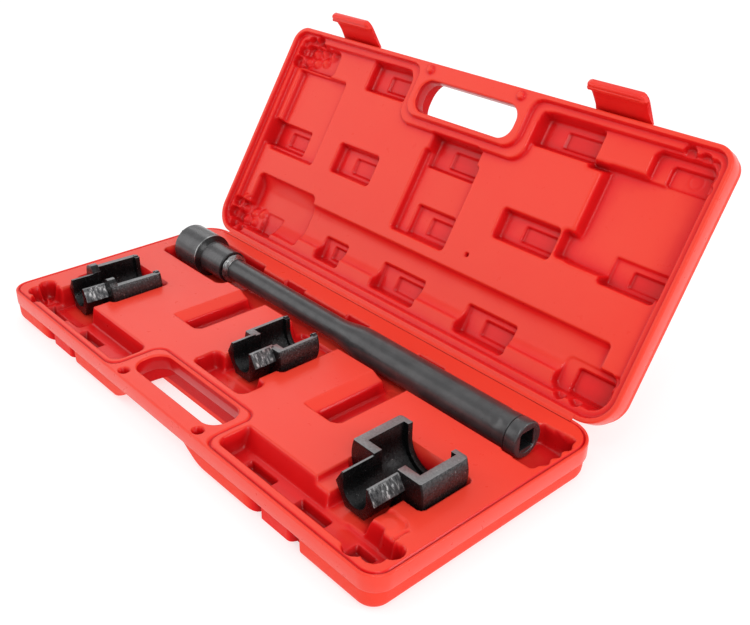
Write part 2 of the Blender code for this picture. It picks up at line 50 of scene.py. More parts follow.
# ------------------------------------------------------------------------------------------------ case millimetres
# x along the hinge from the left end, y from the front edge to the hinge, z up from the rim of the lower half.
CASE_L, CASE_W, BASE_H, LID_H = 460.0, 206.0, 28.0, 26.0
R_FRONT, R_REAR = 15.0, 24.0
BAND_H = 12.8
PLATEAU = 3.0
RIM_GAP = 0.4
LID_PLATEAU = 9.5 - RIM_GAP
HINGE_Y, HINGE_Z, LID_OPEN = CASE_W, 0.2, 122.0
HANDLE = (177.0, 283.0, 14.0, 42.0)
LATCH_X = ((58.5, 105.5), (341.0, 388.0))
LATCH_RECESS = ((55.5, 108.5), (338.0, 391.0))
LATCH_Y, LATCH_Z, LATCH_LEN, LATCH_T, LATCH_OPEN = -1.6, 10.0, 29.6, 2.5, 27.0
TOOL_Y, TOOL_Z = 164.7, -0.8
CELL = 0.85


def to_world(p):
    """Case millimetres to metres in the object's frame."""
    p = np.asarray(p, float)
    return (p - np.array((CASE_L / 2, CASE_W / 2, -BASE_H))) * MM


def turn_x(p, y0, z0, degrees):
    p = np.asarray(p, float)
    a = math.radians(degrees)
    y, z = p[:, 1] - y0, p[:, 2] - z0
    return np.stack([p[:, 0], y0 + y * math.cos(a) - z * math.sin(a), z0 + y * math.sin(a) + z * math.cos(a)], 1)


def lid_world(p):
    return to_world(turn_x(p, HINGE_Y, HINGE_Z, -LID_OPEN))


# ------------------------------------------------------------------------------------------------ outlines
def fillet(corners, seg=8):
    """Round the corners of a closed outline; each corner is (x, y, radius)."""
    out = []
    n = len(corners)
    for i in range(n):
        p = Vector(corners[i][:2])
        a = Vector(corners[i - 1][:2]) - p
        b = Vector(corners[(i + 1) % n][:2]) - p
        r = corners[i][2]
        if r <= 0.0:
            out.append((p.x, p.y))
            continue
        a.normalize()
        b.normalize()
        half = a.angle(b) / 2.0
        centre = p + (a + b).normalized() * (r / math.sin(half))
        start = p + a * (r / math.tan(half)) - centre
        turn = math.pi - 2.0 * half
        if a.cross(b) > 0.0:
            turn = -turn
        for k in range(seg + 1):
            t = turn * k / seg
            out.append((centre.x + start.x * math.cos(t) - start.y * math.sin(t),
                        centre.y + start.x * math.sin(t) + start.y * math.cos(t)))
    return out


def rrect(x0, x1, y0, y1, r, seg=8, r_rear=None):
    rr = r if r_rear is None else r_rear
    return fillet([(x0, y0, r), (x1, y0, r), (x1, y1, rr), (x0, y1, rr)], seg)


def outline(inset, front=None, seg=18):
    y0 = inset if front is None else front
    return rrect(inset, CASE_L - inset, y0, CASE_W - inset, max(R_FRONT - inset, 2.0), seg, max(R_REAR - inset, 2.0))


def loft(loops, place=None):
    bm = bmesh.new()
    rings = []
    for pts, z in loops:
        rings.append([bm.verts.new((x, y, z)) for x, y in pts])
    bm.faces.new(list(reversed(rings[0])))
    bm.faces.new(rings[-1])
    n = len(rings[0])
    for lo, hi in zip(rings[:-1], rings[1:]):
        for i in range(n):
            bm.faces.new((lo[i], lo[(i + 1) % n], hi[(i + 1) % n], hi[i]))
    if place is not None:
        bmesh.ops.transform(bm, matrix=place, verts=bm.verts)
    bmesh.ops.recalc_face_normals(bm, faces=bm.faces)
    return bm


def obj_from(bm, name):
    me = bpy.data.meshes.new(name)
    bm.to_mesh(me)
    bm.free()
    ob = bpy.data.objects.new(name, me)
    bpy.context.scene.collection.objects.link(ob)
    return ob


def evaluated_mesh(ob):
    deps = bpy.context.evaluated_depsgraph_get()
    fresh = bpy.data.meshes.new_from_object(ob.evaluated_get(deps))
    ob.modifiers.clear()
    old = ob.data
    ob.data = fresh
    bpy.data.meshes.remove(old)
    return ob


def cut(body, bm, op="DIFFERENCE", solver="EXACT"):
    tool = obj_from(bm, "cutter")
    mod = body.modifiers.new("cut", "BOOLEAN")
    mod.operation = op
    mod.object = tool
    mod.solver = solver
    evaluated_mesh(body)
    mesh = tool.data
    bpy.data.objects.remove(tool, do_unlink=True)
    bpy.data.meshes.remove(mesh)
    return body


# ------------------------------------------------------------------------------------------------ height fields
def s_rect(x, y, x0, x1, y0, y1, r):
    """Distance inside a rounded rectangle, negative outside."""
    qx = np.abs(x - (x0 + x1) / 2) - (x1 - x0) / 2 + r
    qy = np.abs(y - (y0 + y1) / 2) - (y1 - y0) / 2 + r
    return r - np.minimum(np.maximum(qx, qy), 0.0) - np.hypot(np.maximum(qx, 0.0), np.maximum(qy, 0.0))


def s_round(x, y, cx, cy, r):
    return r - np.hypot(x - cx, y - cy)


def s_or(a, b, k=4.0):
    h = np.maximum(k - np.abs(a - b), 0.0) / k
    return np.maximum(a, b) + h * h * k / 4.0


def s_and(a, b, k=4.0):
    return -s_or(-a, -b, k)


def s_case(x, y, inset):
    """Distance inside the case outline set in by inset."""
    r = np.where(y < CASE_W / 2, R_FRONT - inset, R_REAR - inset)
    return s_rect(x, y, inset, CASE_L - inset, inset, CASE_W - inset, r)


def fall(s, depth, width, rt=1.6, rb=2.0):
    """Depth of a drafted wall with rounded head and foot at distance s inside its outline."""
    phi = math.atan2(depth, width)
    room = depth / max((rt + rb) * (1.0 - math.cos(phi)), 1e-6)
    if room < 1.0:
        rt, rb = rt * room, rb * room
    t, tb = rt * math.tan(phi / 2), rb * math.tan(phi / 2)
    out = np.clip(s * depth / width, 0.0, depth)
    head = (s > -t) & (s < -t + rt * math.sin(phi))
    out = np.where(head, rt - np.sqrt(np.maximum(rt * rt - (s + t) ** 2, 0.0)), out)
    foot = (s > width + tb - rb * math.sin(phi)) & (s < width + tb)
    out = np.where(foot, depth - rb + np.sqrt(np.maximum(rb * rb - (s - width - tb) ** 2, 0.0)), out)
    return np.where(s >= width + tb, depth, out)


def deeper(a, b, k=1.6):
    """Deeper of two depths, rounding the ridge where they cross below the surface."""
    k = k * np.clip(np.minimum(a, b) / 3.0, 1e-3, 1.0)
    h = np.maximum(k - np.abs(a - b), 0.0) / k
    return np.maximum(a, b) + h * h * k / 4.0


def shallower(a, b, k=1.5):
    h = np.maximum(k - np.abs(a - b), 0.0) / k
    return np.minimum(a, b) - h * h * k / 4.0


def around_handle(x, y, inset, x0, x1, y_top, r):
    """Distance inside the inner outline that steps round the hand hole."""
    return s_and(s_case(x, y, inset), -s_rect(x, y, x0, x1, -60.0, y_top, r), r)


def scallop(s, t, amount, pitch):
    return s + amount * np.cos(2.0 * math.pi * t / pitch)


def lobed(x, y, trough, room, lobes):
    """Trough with a corner that bulges out in round lobes."""
    out = s_or(trough, s_rect(x, y, *room, 6.0), 3.0)
    for cx, cy, r in lobes:
        out = s_or(out, s_round(x, y, cx, cy, r), 0.8)
    return out


FINGER_SLOTS = ((125.5, 166.8, 78.2), (293.8, 335.3, 78.8))


def base_height(x, y):
    step = around_handle(x, y, 3.7, 168.0, 292.0, 46.5, 11.0)
    top = fall(step, PLATEAU, 0.9, 1.1, 0.6) - 1.7 * np.exp(-((step + 0.8) / 0.8) ** 2)
    d = np.zeros_like(x)

    def dig(s, floor, width, rt=1.8, rb=2.2):
        nonlocal d
        d = deeper(d, fall(s, PLATEAU - floor, width, rt, rb))

    # front trough at the left: lobed corner, gentle bank above its rear wall, wall tacks in the floor
    trough = s_rect(x, y, 34.0, 165.0, 6.8, 36.0, 8.0)
    lobes = [(35.5, 11.2, 8.6), (23.0, 14.6, 8.2), (18.4, 25.4, 7.6)]
    dig(lobed(x, y, trough, (22.0, 64.0, 11.0, 32.0), lobes), -15.0, 2.4, 1.5, 2.2)
    dig(s_rect(x, y, 73.0, 162.0, 4.0, 46.0, 7.0), -0.6, 11.5, 5.0, 2.0)
    dig(s_rect(x, y, 29.0, 60.5, 13.0, 24.6, 2.5), -21.0, 1.6, 0.8, 1.4)
    dig(s_rect(x, y, 85.0, 116.5, 13.0, 25.6, 2.5), -21.0, 1.6, 0.8, 1.4)
    # small adapter
    dig(s_rect(x, y, 20.6, 83.2, 50.6, 104.4, 5.0), -25.2, 1.4, 1.8, 1.2)
    dig(s_rect(x, y, 31.0, 79.4, 20.0, 56.0, 5.0), -18.6, 2.0)
    # finger slots: sloped bank at the left, steep elsewhere
    for x0, x1, y0 in FINGER_SLOTS:
        whole = fall(s_rect(x, y, x0, x1, y0, 156.0, 8.0), 12.0, 2.6, 1.8, 2.4)
        bank = np.clip((x - x0) * 0.56, 0.0, 40.0)
        d = deeper(d, shallower(whole, bank, 1.2))
        dig(s_rect(x, y, x0 + 13.5, x1 - 0.4, y0 + 1.4, 156.0, 7.0), -15.0, 3.0, 1.4, 2.4)
    # medium adapter, with finger room in front of its tail
    dig(s_rect(x, y, 201.6, 259.2, 90.4, 156.0, 5.0), -18.8, 1.8)
    dig(s_rect(x, y, 210.6, 253.8, 58.0, 96.0, 5.0), -12.8, 1.8)
    dig(s_rect(x, y, 199.6, 264.2, 50.8, 75.4, 7.0), -13.4, 4.0, 2.0, 3.0)
    # front trough at the right
    trough = s_and(s_rect(x, y, 295.8, 432.0, 8.2, 46.0, 8.0), (37.6 - y) * 0.27, 1.5)
    lobes = [(431.0, 11.8, 8.2), (442.6, 16.2, 8.0), (447.6, 26.0, 7.6)]
    dig(lobed(x, y, trough, (400.0, 446.0, 12.0, 33.0), lobes), -15.0, 2.4, 1.5, 2.2)
    dig(s_rect(x, y, 312.0, 342.0, 14.0, 26.6, 2.5), -21.0, 1.6, 0.8, 1.4)
    dig(s_rect(x, y, 364.4, 395.4, 14.0, 27.4, 2.5), -21.0, 1.6, 0.8, 1.4)
    dig(s_rect(x, y, 417.0, 437.0, 12.0, 26.4, 3.0), -21.0, 1.6, 0.8, 1.4)
    # large adapter, with a shelf beside its tail
    dig(s_rect(x, y, 367.2, 434.8, 60.6, 105.8, 4.0), -25.9, 0.8, 1.2, 0.8)
    dig(s_rect(x, y, 366.0, 419.4, 24.0, 66.0, 6.0), -4.0, 3.0, 2.0, 2.4)
    dig(s_rect(x, y, 380.0, 420.4, 24.0, 66.0, 5.0), -12.8, 3.4, 3.2, 2.4)
    # bell, tube and drive end
    dig(s_rect(x, y, 17.8, 112.0, 135.8, 188.8, 8.0), -20.4, 2.2, 1.8, 2.4)
    dig(s_rect(x, y, 104.0, 430.0, 144.6, 183.4, 4.0), -14.7, 1.8, 1.6, 1.4)
    end = scallop(s_rect(x, y, 420.0, 454.4, 142.6, 188.4, 8.0), (y - 165.5), np.clip((x - 432.0) / 10.0, 0.0, 1.0) * 1.2, 11.5)
    dig(end, -15.0, 3.0, 2.0, 2.4)
    for x0, x1 in ((141.0, 169.0), (222.0, 250.0), (304.0, 333.0)):
        dig(s_rect(x, y, x0, x1, 174.0, 187.0, 2.5), -8.0, 1.6, 1.4, 1.6)
    # low corner between the large adapter's tail and the end of the trough
    dig(s_rect(x, y, 415.0, 441.0, 27.0, 51.0, 8.0), -1.4, 2.4, 1.6, 2.4)
    dig(s_rect(x, y, 437.0, 452.6, 31.0, 46.4, 5.0), -0.2, 2.0, 1.4, 2.0)
    z = np.minimum(top, PLATEAU - d)
    near = np.clip((z + 3.0) / 2.0, 0.0, 1.0) * np.clip((y - 24.0) / 3.0, 0.0, 1.0) * np.clip((54.0 - y) / 3.0, 0.0, 1.0)
    z = z + near * 2.2 * np.maximum(1.0 - ((x - 429.6) / 11.5) ** 2 - ((y - 39.4) / 10.5) ** 2, 0.0)
    z = z + near * 1.5 * np.maximum(1.0 - ((x - 446.0) / 5.6) ** 2 - ((y - 39.0) / 6.6) ** 2, 0.0)
    z = z - near * 1.3 * np.exp(-((x - 440.4) / 1.3) ** 2) * np.clip((50.0 - y) / 4.0, 0.0, 1.0)
    # holes for the locating pins
    for px in (181.0, 279.0):
        z = np.minimum(z, -fall(s_round(x, y, px, 6.2, 4.2), 9.0, 0.8, 0.6, 0.8))
    # the moulded skin is never quite flat
    z = z + 0.05 * np.sin(x / 17.0 + 1.3 * np.sin(y / 23.0)) * np.sin(y / 19.0 + 0.8 * np.sin(x / 31.0))
    return z


LID_SQUARES = ((107.0, 158.5, 9.8, 37.5, 17.8), (11.0, 62.5, 88.0, 115.0, 21.0), (107.0, 159.0, 87.5, 116.0, 18.0),
               (204.5, 259.5, 52.5, 82.0, 21.6), (213.5, 259.0, 109.5, 139.0, 21.4), (300.5, 356.5, 88.0, 114.0, 18.4),
               (299.5, 357.0, 11.0, 37.5, 18.2), (399.0, 446.5, 89.5, 115.0, 22.3), (131.0, 164.0, 167.5, 192.0, 20.0),
               (205.5, 258.0, 165.5, 192.2, 20.2), (302.5, 355.0, 165.6, 192.4, 20.4))


def lid_depth(x, y):
    """Depth of the lid's inner face behind its rim, lid drawn shut."""
    one = around_handle(x, y, 3.6, 170.0, 290.5, 46.0, 12.0)
    two = around_handle(x, y, 9.6, 162.0, 298.5, 53.0, 13.0)
    top = fall(one, 4.5, 1.0, 0.9, 1.0) + fall(two, LID_PLATEAU - 4.5, 1.2, 1.1, 1.2)
    d = np.zeros_like(x)

    def dig(s, ceiling, width, rt=1.6, rb=2.0):
        nonlocal d
        d = deeper(d, fall(s, ceiling - RIM_GAP - LID_PLATEAU, width, rt, rb))

    def gutter(s, mid, ceiling, half, width):
        """Half-round recess along x with a short wall at its edge."""
        nonlocal d
        rise = ceiling - RIM_GAP - LID_PLATEAU
        r = (half * half + rise * rise) / (2.0 * rise)
        bow = np.sqrt(np.maximum(r * r - (y - mid) ** 2, 0.0)) - r + rise
        d = deeper(d, shallower(fall(s, rise, width, 1.2, 2.0), np.maximum(bow, 0.0) + 1.6, 1.5))

    dig(s_rect(x, y, 17.6, 83.0, 36.0, 118.2, 4.0), 15.6, 2.2, 1.6, 1.4)          # over the small adapter
    dig(s_rect(x, y, 201.0, 263.0, 66.0, 140.0, 4.0), 16.6, 2.2, 1.4, 1.6)        # over the medium adapter
    large = s_or(s_rect(x, y, 366.2, 480.0, 33.0, 109.6, 7.0), s_rect(x, y, 357.0, 480.0, 86.6, 109.6, 5.0), 3.0)
    large = s_or(large, s_rect(x, y, 352.0, 480.0, 32.8, 40.4, 3.4), 3.0)
    dig(s_and(large, two - 0.6, 2.0), 19.6, 3.2, 2.8, 2.4)                         # over the large adapter
    gutter(s_rect(x, y, 22.0, 106.0, 141.4, 191.0, 6.0), 166.0, 20.6, 25.0, 2.6)  # over the bell
    gutter(s_rect(x, y, 100.0, 432.0, 148.8, 183.4, 4.0), 165.4, 15.9, 17.5, 2.2)  # over the tube
    for x0, x1, y0, y1, ceiling in LID_SQUARES:
        dig(s_rect(x, y, x0, x1, y0, y1, 4.0), ceiling, 2.6, 1.2, 2.4)
        w, h = x1 - x0, y1 - y0
        dig(s_rect(x, y, x0 + 0.36 * w, x1 - 1.6, y0 + 0.24 * h, y0 + 0.82 * h, 2.8), ceiling + 3.0, 1.5, 0.8, 1.2)
    drop = np.where(d > 0.0, np.maximum(top, np.minimum(top, LID_PLATEAU) + d), top)

    # lobed corners run out through the ledge to the rim
    def lobe(s, ceiling, width=2.6):
        nonlocal drop
        drop = deeper(drop, fall(s, ceiling - RIM_GAP, width, 1.2, 2.0), 1.2)

    def boss(cx, cy, r, height):
        nonlocal drop
        drop = drop - height * np.maximum(1.0 - ((x - cx) ** 2 + (y - cy) ** 2) / (r * r), 0.0) ** 1.5

    def scallops(circles, ceiling=11.0):
        edge = s_round(x, y, *circles[0])
        for c in circles[1:]:
            edge = s_or(edge, s_round(x, y, *c), 0.8)
        lobe(edge, ceiling, 2.6)

    scallops([(13.0, 31.6, 7.6), (14.4, 21.0, 7.4), (22.0, 12.4, 7.6), (33.0, 10.2, 7.2)], 12.0)
    lobe(s_rect(x, y, 10.0, 65.0, 9.6, 39.4, 9.0), 17.4, 4.4)
    for cx, cy in ((16.0, 28.0), (22.0, 18.0), (33.0, 15.0), (27.6, 26.6), (39.0, 24.0), (21.0, 35.6), (46.0, 16.6)):
        boss(cx, cy, 5.8, 3.4)
    scallops([(446.4, 30.4, 6.6), (445.6, 21.0, 6.8), (437.2, 13.0, 7.0), (425.0, 10.6, 6.8)])
    lobe(s_rect(x, y, 397.0, 449.0, 10.6, 39.6, 9.0), 16.8, 3.6)
    lobe(s_rect(x, y, 411.0, 447.6, 17.6, 37.4, 5.0), 21.0, 2.2)
    drop = drop + 0.35 * np.exp(-((np.hypot(x - 431.6, y - 25.4) - 5.0) / 0.6) ** 2)
    scallops([(12.6, 176.4, 7.0), (12.4, 187.0, 7.2), (19.8, 195.0, 6.8), (30.6, 196.0, 6.6), (23.0, 171.6, 6.8)], 12.0)
    lobe(s_rect(x, y, 10.0, 52.0, 169.0, 198.0, 9.0), 17.4, 4.4)
    for cx, cy in ((16.0, 180.4), (22.0, 190.0), (28.6, 180.0), (34.0, 189.6), (19.0, 171.0), (39.0, 178.0)):
        boss(cx, cy, 5.6, 3.4)
    lobe(s_rect(x, y, 42.0, 70.0, 172.0, 197.0, 4.0), 21.6, 2.4)
    scallops([(446.0, 171.4, 6.6), (445.0, 182.0, 6.8), (438.0, 190.6, 7.0), (427.0, 193.8, 6.6), (413.6, 194.6, 6.2)])
    lobe(s_rect(x, y, 398.4, 449.0, 165.0, 196.4, 9.0), 16.8, 3.6)
    lobe(s_rect(x, y, 411.6, 447.0, 171.6, 194.0, 5.0), 21.0, 2.2)
    # vent in the skin
    drop = drop + fall(s_round(x, y, 287.0, 134.0, 1.9), 5.0, 0.8, 0.4, 0.5)
    # locating pins
    for px in (181.0, 279.0):
        drop = drop - fall(s_round(x, y, px, 6.4, 3.4), 3.4, 0.8, 0.7, 0.5)
    drop = drop + 0.05 * np.sin(x / 19.0 + 1.1 * np.sin(y / 27.0) + 0.7) * np.sin(y / 17.0 + 0.9 * np.sin(x / 29.0))
    return drop


def step_shade_lines(x, y, up):
    """Painted shade lines at the foot of the steps."""
    if up > 0:
        return 0.55 * np.exp(-((around_handle(x, y, 3.7, 168.0, 292.0, 46.5, 11.0) + 0.75) / 0.7) ** 2)
    one = around_handle(x, y, 3.6, 170.0, 290.5, 46.0, 12.0) - 1.1
    two = around_handle(x, y, 9.6, 162.0, 298.5, 53.0, 13.0) - 1.4
    return 0.36 * np.exp(-(one / 0.8) ** 2) + 0.26 * np.exp(-(two / 0.9) ** 2)


def occlusion_shade(field, up):
    """How far each point of an inner face is shut in by its surroundings, as a function of x and y from 0 to 1; it is
    painted into the plastic's colour as shade.
    """
    pad = 28
    gx, gy = np.meshgrid(np.arange(-pad, CASE_L + pad + 1.0), np.arange(-pad, CASE_W + pad + 1.0))
    h = up * field(gx, gy)
    h = np.where(s_case(gx, gy, 0.0) < 0.0, -60.0, h)
    ny, nx = h.shape
    mid = h[pad:ny - pad, pad:nx - pad]
    seen = np.zeros_like(mid)
    ways = 16
    for k in range(ways):
        a = 2.0 * math.pi * (k + 0.5) / ways
        slope = np.zeros_like(mid)
        for reach in (1.0, 1.6, 2.4, 3.5, 5.0, 7.0, 10.0, 14.0, 19.0, 26.0):
            dx, dy = int(round(reach * math.cos(a))), int(round(reach * math.sin(a)))
            far = h[pad + dy:ny - pad + dy, pad + dx:nx - pad + dx]
            slope = np.maximum(slope, (far - mid) / max(math.hypot(dx, dy), 1.0))
        seen += 1.0 / (1.0 + slope * slope)
    shut = 1.0 - seen / ways

    def at(x, y):
        x, y = np.clip(x, 0.0, CASE_L - 0.001), np.clip(y, 0.0, CASE_W - 0.001)
        i, j = x.astype(int), y.astype(int)
        u, v = x - i, y - j
        return ((shut[j, i] * (1 - u) + shut[j, i + 1] * u) * (1 - v) + (shut[j + 1, i] * (1 - u) + shut[j + 1, i + 1] * u) * v)
    return at


# ------------------------------------------------------------------------------------------------ case halves
def tray_grid(inset):
    """Rows of points that fill the rim outline, with the boundary on it."""
    rf, rr = R_FRONT - inset, R_REAR - inset
    nf, nr = max(int(rf * math.pi / 2 / CELL), 6), max(int(rr * math.pi / 2 / CELL), 6)
    rows = []
    for k in range(nf):
        a = math.pi / 2 * k / nf
        rows.append((inset + rf * (1 - math.cos(a)), inset + rf * (1 - math.sin(a))))
    y0, y1 = inset + rf, CASE_W - inset - rr
    nm = int((y1 - y0) / CELL)
    for k in range(nm + 1):
        rows.append((y0 + (y1 - y0) * k / nm, inset))
    for k in range(nr - 1, -1, -1):
        a = math.pi / 2 * k / nr
        rows.append((CASE_W - inset - rr * (1 - math.cos(a)), inset + rr * (1 - math.sin(a))))
    span = CASE_L - 2 * inset
    edge = np.arange(0.0, 9.0, CELL * 0.55) / span
    nx = int((span - 18.0) / CELL)
    u = np.concatenate([edge, np.linspace(9.0 / span, 1.0 - 9.0 / span, nx + 1), 1.0 - edge[::-1]])
    nx = len(u) - 1
    ys = np.array([r[0] for r in rows])
    xs = np.array([r[1] for r in rows])
    X = xs[:, None] + (CASE_L - 2 * xs[:, None]) * u[None, :]
    Y = np.repeat(ys[:, None], nx + 1, 1)
    return X, Y


def shell_half(bm_loops, cuts, cap_z):
    """Outer walls with their recesses; the face at cap_z is left open."""
    body = obj_from(loft(bm_loops), "shell")
    for c in cuts:
        cut(body, c, solver="MANIFOLD")
    bm = bmesh.new()
    bm.from_mesh(body.data)
    mesh = body.data
    bpy.data.objects.remove(body, do_unlink=True)
    bpy.data.meshes.remove(mesh)
    bmesh.ops.remove_doubles(bm, verts=bm.verts, dist=0.002)
    flat = [f for f in bm.faces if all(abs(v.co.z - cap_z) < 0.004 for v in f.verts)]
    bmesh.ops.delete(bm, geom=flat, context="FACES")
    return bm


def rim_loops(bm):
    """Open edge loops of a mesh, as lists of vertices."""
    edges = {e for e in bm.edges if len(e.link_faces) == 1}
    loops = []
    while edges:
        e = edges.pop()
        loop = [e.verts[0], e.verts[1]]
        while True:
            nxt = next((f for f in loop[-1].link_edges if f in edges), None)
            if nxt is None:
                break
            edges.discard(nxt)
            v = nxt.other_vert(loop[-1])
            if v is loop[0]:
                break
            loop.append(v)
        loops.append(loop)
    return loops


def zip_loops(bm, a, b, centre, mark):
    """Close the gap between two loops that both go once round the centre."""
    def by_angle(loop):
        return sorted(((math.atan2(v.co.y - centre[1], v.co.x - centre[0]), v) for v in loop), key=lambda t: t[0])
    A, B = by_angle(a), by_angle(b)
    i = j = 0
    na, nb = len(A), len(B)

    def at(L, k):
        n = len(L)
        return L[k % n][0] + 2.0 * math.pi * (k // n)
    faces = []
    while i < na or j < nb:
        go_a = j >= nb or (i < na and at(A, i + 1) <= at(B, j + 1))
        if go_a:
            tri = (A[i % na][1], A[(i + 1) % na][1], B[j % nb][1])
            i += 1
        else:
            tri = (A[i % na][1], B[(j + 1) % nb][1], B[j % nb][1])
            j += 1
        if len(set(tri)) == 3:
            try:
                faces.append(bm.faces.new(tri))
            except ValueError:
                pass
    for f in faces:
        f.smooth = True
        f.material_index = mark
    return faces


def build_half(name, field, up, place, loops, cuts, cap_z, rim_z):
    """One half: inner face from a height field, rim, hand hole and outer shell in one closed mesh.

    up is +1 for the lower half (inner face looks up) and -1 for the lid drawn shut (inner face looks down)."""
    inset = 1.3
    X, Y = tray_grid(inset)
    Z = field(X, Y)
    # painted shade: how far each point is shut in goes into the recess attribute and darkens the plastic's colour
    shut = occlusion_shade(field, up)(X, Y)
    if up > 0:
        for x0, x1, y0 in FINGER_SLOTS:                              # painted light on the sloped banks, painted shade in the deep rooms
            rows = np.clip((Y - y0 - 1.0) / 3.0, 0.0, 1.0) * np.clip((143.0 - Y) / 4.0, 0.0, 1.0)
            shut = shut - 0.34 * rows * np.clip((X - x0 - 0.5) / 2.0, 0.0, 1.0) * np.clip((x0 + 13.6 - X) / 1.5, 0.0, 1.0)
            shut = shut + 0.14 * rows * np.clip((X - x0 - 14.0) / 2.0, 0.0, 1.0) * np.clip((x1 - X) / 2.0, 0.0, 1.0)
        # painted shade on the deepest floors of the front troughs
        shut = shut + 0.2 * np.clip((-17.0 - Z) / 3.0, 0.0, 1.0) * np.clip((30.0 - Y) / 2.0, 0.0, 1.0)
    # painted shade lines at the foot of the rim steps
    shut = np.maximum(np.maximum(shut, 0.0), step_shade_lines(X, Y, up))
    ny, nx = X.shape
    hx0, hx1, hy0, hy1 = HANDLE
    lip = 1.6
    hole = s_rect(X, Y, hx0 - lip, hx1 + lip, hy0 - lip, hy1 + lip, 12.0 + lip)
    keep = hole < -0.25
    bm = shell_half(loops, cuts, cap_z)
    shade_layer = bm.verts.layers.float.new("recess")
    shell_faces = set(bm.faces)
    open_loops = rim_loops(bm)
    open_loops.sort(key=len)
    centre = (CASE_L / 2, CASE_W / 2)
    hole_centre = ((hx0 + hx1) / 2, (hy0 + hy1) / 2)

    def spread(loop):
        return max(v.co.x for v in loop) - min(v.co.x for v in loop)
    shell_rim = max(open_loops, key=spread)
    shell_hole = min(open_loops, key=spread)
    verts = np.empty((ny, nx), dtype=object)
    for j in range(ny):
        for i in range(nx):
            if keep[j, i]:
                verts[j, i] = bm.verts.new((X[j, i], Y[j, i], Z[j, i]))
                verts[j, i][shade_layer] = shut[j, i]
    made = []
    for j in range(ny - 1):
        for i in range(nx - 1):
            q = (verts[j, i], verts[j, i + 1], verts[j + 1, i + 1], verts[j + 1, i])
            if None not in q:
                made.append(bm.faces.new(q if up > 0 else q[::-1]))
    # round the rim over to the outer wall
    border = [(j, i) for j, i in
              [(0, i) for i in range(nx)] + [(j, nx - 1) for j in range(1, ny)] +
              [(ny - 1, i) for i in range(nx - 2, -1, -1)] + [(j, 0) for j in range(ny - 2, 0, -1)]]
    pts = np.array([(X[j, i], Y[j, i]) for j, i in border])
    eps = 0.05
    gx = (s_case(pts[:, 0] + eps, pts[:, 1], 0.0) - s_case(pts[:, 0] - eps, pts[:, 1], 0.0))
    gy = (s_case(pts[:, 0], pts[:, 1] + eps, 0.0) - s_case(pts[:, 0], pts[:, 1] - eps, 0.0))
    n = np.stack([gx, gy], 1)
    n /= np.maximum(np.linalg.norm(n, axis=1, keepdims=True), 1e-9)
    last = [verts[j, i] for j, i in border]
    steps = 5
    for k in range(1, steps + 1):
        a = math.pi / 2 * k / steps
        p = pts - n * inset * math.sin(a)
        z = rim_z - up * inset * (1 - math.cos(a))
        ring = [bm.verts.new((px, py, z)) for px, py in p]
        m = len(ring)
        for i in range(m):
            q = (last[i], ring[i], ring[(i + 1) % m], last[(i + 1) % m])
            made.append(bm.faces.new(q if up > 0 else q[::-1]))
        last = ring
    zip_loops(bm, last, shell_rim, centre, 0)
    # hand hole: pull the cut edge on to the lip and run it down
    hole_edges = set()
    for f in made:
        for e in f.edges:
            if len(e.link_faces) == 1:
                c = (e.verts[0].co + e.verts[1].co) / 2
                if hx0 - 9 < c.x < hx1 + 9 and hy0 - 9 < c.y < hy1 + 9:
                    hole_edges.add(e)
    loop = []
    e = hole_edges.pop()
    loop = [e.verts[0], e.verts[1]]
    while hole_edges:
        nxt = next((f for f in loop[-1].link_edges if f in hole_edges), None)
        if nxt is None:
            break
        hole_edges.discard(nxt)
        v = nxt.other_vert(loop[-1])
        if v is loop[0]:
            break
        loop.append(v)
    area = sum(a.co.x * b.co.y - b.co.x * a.co.y for a, b in zip(loop, loop[1:] + loop[:1]))
    if area < 0:
        loop.reverse()
    p = np.array([(v.co.x, v.co.y) for v in loop])

    def hole_s(q):
        return s_rect(q[:, 0], q[:, 1], hx0, hx1, hy0, hy1, 12.0)

    def hole_n(q):
        gx = hole_s(q + (eps, 0)) - hole_s(q - (eps, 0))
        gy = hole_s(q + (0, eps)) - hole_s(q - (0, eps))
        g = np.stack([gx, gy], 1)
        return g / np.maximum(np.linalg.norm(g, axis=1, keepdims=True), 1e-9)
    nrm = hole_n(p)
    on = p + nrm * (-lip - hole_s(p))[:, None]
    nrm = hole_n(on)
    last = loop
    for k in range(0, steps + 1):
        a = math.pi / 2 * k / steps
        q2 = on + nrm * lip * math.sin(a)
        z = rim_z - up * lip * (1 - math.cos(a))
        ring = [bm.verts.new((qx, qy, z)) for qx, qy in q2]
        m = len(ring)
        for i in range(m):
            q = (last[i], last[(i + 1) % m], ring[(i + 1) % m], ring[i])
            made.append(bm.faces.new(q[::-1] if up > 0 else q))
        last = ring
    inside = zip_loops(bm, last, shell_hole, hole_centre, 0)
    bmesh.ops.recalc_face_normals(bm, faces=bm.faces)
    for f in bm.faces:
        f.smooth = True
        f.material_index = 0
    # painted shade on the hand-hole walls, which also take the grained plastic
    for f in inside:
        f.material_index = 1
        for v in f.verts:
            v[shade_layer] = 0.46
    # painted shade on the shell round the hand hole and in the latch-recess scoops, deeper further behind the front
    # face
    for f in shell_faces:
        if f.is_valid:
            for v in f.verts:
                if hx0 - 4 < v.co.x < hx1 + 4 and hy0 - 4 < v.co.y < hy1 + 4:
                    v[shade_layer] = 0.46
                deep = v.co.y - 1.6
                if deep > 0.0 and v.co.y < 13.0 and v.co.z * up < -BAND_H - 0.02 and 50.0 < v.co.x < 400.0:
                    v[shade_layer] = max(v[shade_layer], min(0.08 * deep, 0.6))
    for f in shell_faces:
        if f.is_valid:
            c = f.calc_center_median()
            nz = f.normal.z
            if (c.z * up) < -BAND_H - 0.4 and abs(nz) < 0.92:
                f.material_index = 1
    for e in bm.edges:
        if len(e.link_faces) == 2 and e.link_faces[0] in shell_faces and e.link_faces[1] in shell_faces:
            if e.calc_face_angle(0.0) > math.radians(32.0):
                e.smooth = False
    me = bpy.data.meshes.new(name)
    bm.to_mesh(me)
    bm.free()
